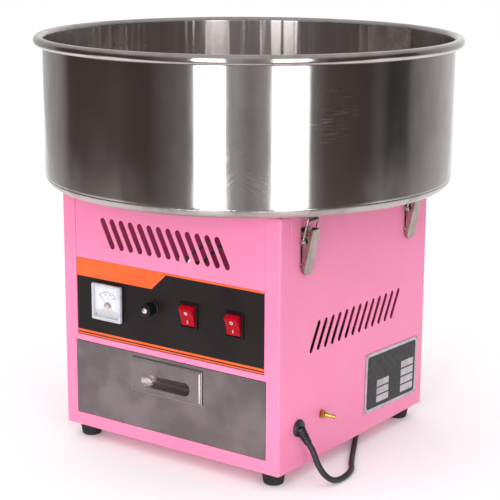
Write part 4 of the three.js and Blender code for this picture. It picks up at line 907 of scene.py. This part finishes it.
pull = block("pull_plate", (-53, -165.7, 81.5), (53, pull_back, 123.5))
soften(pull, 0.6, 3)
crown = block("pull_crown", (-51.2, pull_face, 83.3), (51.2, -164.4, 121.7))
soften(crown, 2.2, 1)
combine(pull, crown, scoop_solid("scoop_shell", 1.2), operation="UNION")
combine(pull, block("trim", (-60, -180, 80), (60, pull_face, 125)), scoop_solid("scoop", 0))
soften(pull, 0.35, 3, 40)
fit(pull, drawer_steel, "drawer", ["drawer_pull"])
# Pressing burnishes the bent edges and the scoop, which shine more than the flat face
burnished = finish("burnished_stainless", {"Metallic": 1, "Roughness": 0.24},
                   ("#c9bfbd", "#a89e9c"), (12, 3), wear=(0.28, 0.36, 4, 3), spread=False)
pull.data.materials.append(burnished)
for side_of_pull in pull.data.polygons:
    side_of_pull.material_index = 0 if side_of_pull.normal.y < -0.97 else 1

# Rating plate
# A thin aluminium plate held by four rivets, with a black etched field and light boxes where the
# anodised metal is bare. The field is dull, and the metal has a brushed sheen whose lines are drawn
# 0.8 mm apart, coarser than real, so that they show.
plate_silver = finish("anodised_aluminium", {"Metallic": 1, "Roughness": 0.4},
                      ("#cfc9cd", "#bdb6bb"), (20, 3), wear=(0.34, 0.48, 6, 3),
                      skin=(0.003, 0.8, 2, (1, 0.05, 1)))
plate_black = finish("etched_black_field", {"Roughness": 0.5}, ("#1c1e20", "#242628"), (20, 3),
                     wear=(0.42, 0.55, 6, 3))


def rounded(name, y0, y1, z0, z1, radius, near, far):
    """A rounded rectangle on the side face, between two distances out from it."""
    corners = ((y1 - radius, z1 - radius, 0), (y0 + radius, z1 - radius, 90),
               (y0 + radius, z0 + radius, 180), (y1 - radius, z0 + radius, 270))
    ring = [p for cy, cz, start in corners for p in arc(cy, cz, radius, start, start + 90, 6)]
    return drawn(name, [(near, y, z) for y, z in ring], thick=(far - near, 0, 0))


def on_plate(part):
    """Puts a part drawn about the plate's middle on the side face, where the plate sits askew."""
    return settle(part, (161.8, 84.8, 76.5), (-2, 0, 0))


plate = rounded("plate_sheet", -62.75, 62.75, -38, 38, 1.5, 0, 0.8)
soften(plate, 0.2, 2)
fit(on_plate(plate), plate_silver, "cabinet", ["rating_plate"])
field = rounded("plate_field", -58.6, 58.6, -33.8, 33.8, 4, 0.8, 0.86)
fit(on_plate(field), plate_black, "cabinet")
boxes = [rounded("box", left, right, low - i * pitch, high - i * pitch, 0.6, 0.86, 0.92)
         for left, right, low, high, pitch, count in ((23.6, 54.4, 3.1, 11.9, 10.7, 4),
                                                      (-35.2, -6.3, -8.4, -0.1, 10.2, 3))
         for i in range(count)]
fit(on_plate(join("plate_boxes", *boxes)), plate_silver, "cabinet")
rivet_profile = [(0, 0.7), (1.7, 0.7), (1.6, 1.2), (1.1, 1.6), (0, 1.75)]
rivets = [turned("rivet", rivet_profile, 24, (0, y, z), "X")
          for y in (-60.4, 60.4) for z in (-35.6, 35.6)]
fit(on_plate(join("plate_rivets", *rivets)), nickel, "cabinet")

# Earth terminal
# A turned brass stud through the side, clamped by a washer outside and a nut inside, with a loose
# hexagon nut on it. The brass is lacquered and slightly browned.
brass = finish("turned_brass", {"Metallic": 1, "Roughness": 0.28}, ("#dcbb6c", "#b9934a"), (4, 3),
               wear=(0.22, 0.4, 3, 3))
earth_place = (0, -75.5, 70)
stud_profile = [(0, 150.3), (2.0, 150.3)]
for i in range(38):
    foot = 150.8 + i * 0.8
    stud_profile += [(2.4, foot), (2.05, foot + 0.4)]
stud_profile += [(2.3, 181.0), (1.9, 181.5), (0, 181.5)]
stud = turned("stud", stud_profile, 24, earth_place, "X")
washer = turned("washer", [(2, 161.8), (5.5, 161.8), (5.5, 162.9), (5.3, 163.0), (2, 163.0),
                           (2, 161.8)], 32, earth_place, "X")
inner_nut = turned("inner_nut", [(2, 158.8), (5.5, 158.8), (5.5, 160), (2, 160), (2, 158.8)], 6,
                   earth_place, "X")
fit(join("earth_screw", stud, washer, inner_nut), brass, "cabinet", ["earth_stud"])
nut = turned("hexagon_nut", [(2.7, 163.3), (4.7, 163.3), (5.2, 163.7), (5.2, 167.4), (4.7, 167.8),
                             (2.7, 167.8), (2.7, 163.3)], 6, earth_place, "X")
soften(nut, 0.2, 2)
fit(nut, brass, "earth_nut", ["earth_nut"])

# Cable gland
# A moulded black disc and neck clamped through the side by a nut, with a soft ribbed relief that
# bends the lead down away from the cabinet.
gland_place = (0, -124.5, 66.5)
gland_disc = turned("gland_disc", [(0, 152.3), (6, 152.3), (6, 161.8), (10.2, 161.8), (10.5, 162.2),
                                   (10.4, 163.6), (9.6, 165.0), (8, 165.8), (0, 165.8)], 40,
                    gland_place, "X")
gland_nut = turned("gland_nut", [(6, 152.3), (9, 152.3), (9, 160), (6, 160), (6, 152.3)], 6,
                   gland_place, "X")
relief_profile = [(0, 1.5), (6.4, 1.5)]
for i in range(6):
    foot = 3.2 + i * 2.9
    reach = 6.5 - foot * 0.105
    relief_profile += [(reach, foot), (reach, foot + 1.5), (reach - 0.7, foot + 2.0),
                       (reach - 0.8, foot + 2.6)]
relief_profile += [(4.35, 20.4), (4.1, 21), (0, 21)]
relief_droop = 51
relief = settle(turned("gland_relief", relief_profile, 32), (163.8, -124.5, 66.5),
                (0, 90 + relief_droop, 0))
fit(join("gland", gland_disc, gland_nut, relief), black_moulding, "cabinet",
    ["cable_gland"])

# Latches
# Pressed toggle latches: a base with two ears and a rivet, a tapered lever with turned-in edges,
# and a wire bail that hooks over a catch under the bowl. One is made and copied. The nickel over
# the steel is warm grey and shiny, with draw lines 0.6 mm apart, coarser than real, so that they
# show.
latch_plate = finish("nickelled_latch_steel", {"Metallic": 1, "Roughness": 0.24},
                     ("#ab9f98", "#998d87"), (14, 3), wear=(0.2, 0.28, 10, 3),
                     skin=(0.003, 0.6, 2, (1, 1, 0.08)))
pivot = (11, 297)
eye = (5, 287)
crossbar = (11.6, 315)


def cross_bar(name, radius, reach, place, dome=0.0):
    """A pin along Y on both sides of the middle, with domed ends where it is riveted."""
    half = [(radius, reach), (radius * 0.7, reach + dome * 0.8), (0, reach + dome)]
    return turned(name, [(r, -along) for r, along in half[::-1]] + half, 20,
                  (place[0], 0, place[1]), "Y")


def latch_base():
    """The plate with its rounded corners, ears, nibs and the rivet that the lever turns on."""
    sheet_part = block("base_sheet", (0.3, -9.5, 257), (1.5, 9.5, 303))
    pick(sheet_part, "EDGE", lambda middle, run: abs(run.x) > 0.0009 and abs(run.y) < 1e-5)
    bpy.ops.mesh.bevel(offset=1.8 * mm, segments=4, affect="EDGES")
    done()
    ear_outline = [(0.9, 297.9), (0.9, 291)] + arc(*pivot, 2.4, -100, 98, 12)
    ears = [drawn("ear", [(out, y, z) for out, z in ear_outline], thick=(0, 1.2, 0))
            for y in (-6.0, 4.8)]
    strip = block("nib_strip", (0.3, -10.7, 260), (1.5, 10.7, 263))
    nibs = [block("nib", (0.3, y, 260), (4.1, y + 1, 263)) for y in (-10.7, 9.7)]
    combine(sheet_part, *ears, strip, *nibs, operation="UNION")
    soften(sheet_part, 0.25, 2)
    return join("latch_base", sheet_part, cross_bar("latch_rivet", 1.3, 8.6, pivot, 0.2))


def latch_lever():
    """A wedge that is deep at its top, with a round foot, hollowed from behind to a wall."""
    top, low, round_z, back, crest, nose = 301.5, 247, 256.4, 2.5, 16.1, 4.8
    wall, past = 1.3, 4
    wedge = drawn("wedge", [(out, -9.4, z) for out, z in (
        (crest, top), (5.5, top), (back, 290), (back, low), (nose, low))], thick=(0, 18.8, 0))
    outside = [(7.6, top), (-7.6, top), *arc(0, round_z, 9.4, 180, 360, 20)]
    combine(wedge, drawn("outline", [(0, y, z) for y, z in outside], thick=(22, 0, 0)),
            operation="INTERSECT")
    slope = (crest - nose) / (top - low)
    hollow = drawn("hollow", [(out, -9.4, z) for out, z in (
        (crest + past * slope - wall, top + past), (-past, top + past), (-past, low - past),
        (nose - past * slope - wall, low - past))], thick=(0, 18.8, 0))
    inside = [(6.3, top + past), (-6.3, top + past), *arc(0, round_z, 8.1, 180, 360, 20)]
    combine(hollow, drawn("inside", [(-past, y, z) for y, z in inside], thick=(26, 0, 0)),
            operation="INTERSECT")
    combine(wedge, hollow)
    combine(wedge, cross_bar("pivot_hole", 1.6, 12, pivot))
    soften(wedge, 0.45, 3, 40)
    studs = [turned("lever_stud", [(0, 7.2), (1.3, 7.2), (1.3, 12.5), (2, 12.5), (2, 12.9),
                                   (1.5, 13.2), (0, 13.3)], 20, (eye[0], 0, eye[1]), axis)
             for axis in ("Y", "-Y")]
    return join("latch_lever", wedge, *studs)


def latch_bail():
    """A wire from eye to eye round the crossbar, with a small bend at each corner."""
    leg = 11.05
    run = Vector((crossbar[0] - eye[0], 0, crossbar[1] - eye[1]))
    along = run.normalized()
    route = []
    for side in (-1, 1):
        start = Vector((eye[0], side * leg, eye[1])) + along * 2.6
        bend = Vector((crossbar[0], side * leg, crossbar[1]))
        corner = [bend - along * 2.2, bend - along * 0.9 + Vector((0, -side * 0.25, 0)),
                  bend - along * 0.2 + Vector((0, -side * 0.9, 0)),
                  bend + Vector((0, -side * 2.2, 0))]
        legs = [start, start + along * 12, *corner]
        route += legs if side < 0 else legs[::-1]
    wire = as_mesh(curve_piece("bail_wire", [route], 2.3, 12))
    eyes = [turned("bail_eye", arc(2.65, 0, 1.14, 0, 360, 12), 28, (eye[0], y, eye[1]), "Y")
            for y in (-leg, leg)]
    return join("latch_bail", wire, *eyes)


latch_parts = {"latch_base": (latch_base(), "cabinet"), "latch_lever": (latch_lever(), "lever"),
               "latch_bail": (latch_bail(), "bail")}
for kind, (part, rider) in latch_parts.items():
    for end_name, y in (("front", -116), ("back", 116)):
        for side_name, side in (("right", 1), ("left", -1)):
            where = f"{end_name}_{side_name}"
            copy = copy_of(part, f"{kind}_{where}_plated", (side * side_face, y, 0),
                           (0, 0, 0 if side > 0 else 180))
            fit(copy, latch_plate, rider if rider == "cabinet" else f"{rider}_{where}",
                [f"{kind}_{where}"])
    bpy.data.objects.remove(part)

# Bowl
# Spun from one disc of stainless steel, with a rounded heel, an upright wall, a rolled rim and a
# raised collar round the spindle. The wall is polished, so lights stand in it as upright bands that
# its slight flutes make wavy, and use has left wiped arcs and fine scratches that run round it.
bowl_foot, bowl_wall = 322.0, 249.2
bowl_steel = new_material("polished_spun_stainless", {
    "Metallic": 1, "Roughness": 0.16, "Anisotropic": 0.95, "Anisotropic Rotation": 0.25})
place = add(bowl_steel, "TexCoord").outputs["Object"]
split = add(bowl_steel, "SeparateXYZ", {0: place}).outputs
heading = add(bowl_steel, "Math", {0: split["Y"], 1: split["X"]}, operation="ARCTAN2")
along_wall = add(bowl_steel, "Math", {0: heading.outputs[0], 1: bowl_wall * mm},
                 operation="MULTIPLY")
reach = add(bowl_steel, "VectorMath", {0: place, 1: (1, 1, 0)}, operation="MULTIPLY")
radius = add(bowl_steel, "VectorMath", {0: reach.outputs[0]}, operation="LENGTH").outputs["Value"]
rings = add(bowl_steel, "CombineXYZ", {"X": along_wall.outputs[0], "Y": radius, "Z": split["Z"]})


def ring_noise(size, stretch, detail=3.0, turn=0.0):
    """Noise that runs round the bowl, stretched along its rings or up its wall."""
    spread = add(bowl_steel, "Mapping", {
        "Vector": rings.outputs[0], "Rotation": (0, math.radians(turn), 0),
        "Scale": [1 / s for s in stretch]}, vector_type="TEXTURE")
    return add(bowl_steel, "TexNoise", {"Vector": spread.outputs[0], "Scale": 1 / (size * mm),
                                        "Detail": detail}).outputs["Fac"]


# A worn patch lies round a spot of the wall, given by its way round from +X, its height and the
# radii between which it fades. Its cut marks are a noise where that passes from near to far.
marks = 0.0
for noise, (near, far, top), (across, height, inner, outer) in (
        (ring_noise(1.0, (0.03, 1, 1), 2), (0.6, 0.68, 1), (-141, 433, 12, 48)),
        (ring_noise(0.8, (0.05, 1, 1), 3, -38), (0.55, 0.72, 0.8), (-253, 385, 3, 40)),
        (ring_noise(0.8, (0.05, 1, 1), 3, 34), (0.55, 0.72, 0.8), (-232, 356, 3, 34))):
    cuts = add(bowl_steel, "MapRange", {
        "Value": noise, "From Min": near, "From Max": far, "To Max": top},
        interpolation_type="SMOOTHSTEP")
    gap = add(bowl_steel, "VectorMath", {
        0: rings.outputs[0], 1: (across * mm, bowl_wall * mm, height * mm)}, operation="DISTANCE")
    patch = add(bowl_steel, "MapRange", {
        "Value": gap.outputs["Value"], "From Min": inner * mm, "From Max": outer * mm,
        "To Min": 1, "To Max": 0}, interpolation_type="SMOOTHSTEP")
    marks = add(bowl_steel, "Math", {0: cuts.outputs[0], 1: patch.outputs[0], 2: marks},
                operation="MULTIPLY_ADD").outputs[0]
# Wiping leaves broad arcs that are duller and darker, only the inside of the wall is fluted in
# full, and the wall is scoured dull near the floor. Each goes from near to far
rubbed, inside, scoured = [
    add(bowl_steel, "MapRange", {"Value": value, "From Min": near, "From Max": far,
                                 "To Min": low, "To Max": high},
        interpolation_type="SMOOTHSTEP").outputs[0]
    for value, near, far, low, high in (
        (ring_noise(26, (1, 1, 0.5), 5), 0.4, 0.7, 0, 1),
        (radius, 248.4 * mm, 248.9 * mm, 1, 0.06),
        (split["Z"], 335 * mm, 400 * mm, 0.07, 0))]
rough, scouring = [
    add(bowl_steel, "MapRange", {"Value": rubbed, "To Min": low, "To Max": high},
        interpolation_type="SMOOTHSTEP").outputs[0]
    for low, high in ((0.14, 0.175), (0.7, 1))]
for pattern, share in ((marks, 0.2), (inside, 0.1), (scoured, scouring)):
    rough = add(bowl_steel, "Math", {0: pattern, 1: share, 2: rough},
                operation="MULTIPLY_ADD").outputs[0]
flutes = add(bowl_steel, "Math", {0: ring_noise(60, (1, 1, 0.12), 1), 1: 0.6,
                                  2: ring_noise(22, (1, 1, 0.05), 2)}, operation="MULTIPLY_ADD")
flutes = add(bowl_steel, "Math", {0: flutes.outputs[0], 1: inside}, operation="MULTIPLY").outputs[0]
shade = add(bowl_steel, "Mix", {0: rubbed, 6: colour("#c8c1be"), 7: colour("#bbb3b0")},
            data_type="RGBA")
# Turning lines, cut marks and the slow flutes of the wall, each on top of the one before. The
# lines and marks are drawn coarser than real ones, so that they show
skin = None
for height, depth in ((ring_noise(1.2, (0.02, 1, 1)), 0.003), (marks, 0.01), (flutes, 1.8)):
    bump = {"Height": height, "Distance": depth * mm, "Strength": 1}
    skin = add(bowl_steel, "Bump", {**bump, "Normal": skin} if skin else bump).outputs[0]
tangent = add(bowl_steel, "Tangent", direction_type="RADIAL", axis="Z")
shader = bowl_steel.node_tree.nodes["Principled BSDF"]
for socket, output in (("Base Color", shade.outputs[2]), ("Roughness", rough), ("Normal", skin),
                       ("Tangent", tangent.outputs[0])):
    bowl_steel.node_tree.links.new(output, shader.inputs[socket])
bowl_profile = [(33, bowl_foot), *arc(235.2, 336, 14, 270, 360, 12),
                *arc(254.1, 495, 5.9, -146.15, 180, 32), *arc(235.2, 336, 13, 360, 270, 12),
                (35.4, 323), (34.4, 323.5), (34, 324.6), (34, 339.6), (33.8, 340), (33.2, 340),
                (33, 339.6), (33, bowl_foot)]
bowl = turned("bowl_spinning", bowl_profile, 192)
fit(bowl, bowl_steel, "cabinet", ["bowl"])
# A rubber ring seals its floor against the deck, and four catches are spot-welded under it
dress(black_rubber, "bowl_seal")
catch_outline = [(8.95, 322.5), (10.15, 322.5), (10.15, 313.55), (11.75, 313.55), (13.85, 312.35),
                 (13.85, 311.15), (8.95, 311.15), (8.95, 320.8), (-3.85, 320.8), (-3.85, 321.95),
                 (8.95, 321.95)]
for end_name, y in (("front", -116), ("back", 116)):
    for side_name, side in (("right", 1), ("left", -1)):
        catch = drawn(f"bowl_catch_{end_name}_{side_name}",
                      [(side * (side_face + out), y - 8.5, z) for out, z in catch_outline],
                      thick=(0, 17, 0))
        soften(catch, 0.3, 2)
        fit(catch, latch_plate, "cabinet")

# Spinner head
# The turned aluminium cup that takes the sugar, the slotted heater band round it, and a lid with a
# filling hole. They are machined castings, pale and bright, with turning rings that are drawn
# 0.8 mm apart, coarser than real, so that they show.
turned_aluminium = finish("turned_aluminium", {"Metallic": 1, "Roughness": 0.3},
                          ("#c4c5c8", "#a9aaad"), (30, 4), wear=(0.24, 0.4, 12, 3))
place = add(turned_aluminium, "TexCoord").outputs["Object"]
flat_place = add(turned_aluminium, "VectorMath", {0: place, 1: (1, 1, 0.6)}, operation="MULTIPLY")
from_axis = add(turned_aluminium, "VectorMath", {0: flat_place.outputs[0]}, operation="LENGTH")
tool_rings = add(turned_aluminium, "TexNoise", {
    "W": from_axis.outputs["Value"], "Scale": 1 / (0.8 * mm), "Detail": 2.0}, noise_dimensions="1D")
tool_marks = add(turned_aluminium, "Bump", {
    "Height": tool_rings.outputs["Fac"], "Distance": 0.01 * mm, "Strength": 1})
turned_aluminium.node_tree.links.new(
    tool_marks.outputs["Normal"],
    turned_aluminium.node_tree.nodes["Principled BSDF"].inputs["Normal"])
head_cup = turned("sugar_cup", [(8.3, 349.2), (68, 349.2), (70.4, 349.8), (71, 351.2),
                                (71, 371.2), (68.4, 371.2), (68, 370.8), (63.5, 354.4),
                                (61.5, 352.5), (58, 352.2), (16, 352.2), (14.4, 353),
                                (14, 354.6), (14, 395.2), (13.4, 395.8), (8.3, 395.8),
                                (8.3, 349.2)], 96)
fit(head_cup, turned_aluminium, "head", ["spinner_cup"])
dress(turned_aluminium, "spinner_band")
lid = turned("head_lid", [(22, 397.8), (72, 397.8), (72, 399.4), (71.2, 400.2), (56, 400.2),
                          (55.4, 399.9), (54.2, 399.9), (53.6, 400.2), (27, 400.2),
                          (25.2, 400.8), (24.4, 402.4), (24.4, 409), (24, 409.7), (23.2, 409.8),
                          (22.4, 409.7), (22, 409), (22, 397.8)], 96)
fit(lid, turned_aluminium, "head", ["spinner_lid"])

bpy.context.view_layer.update()
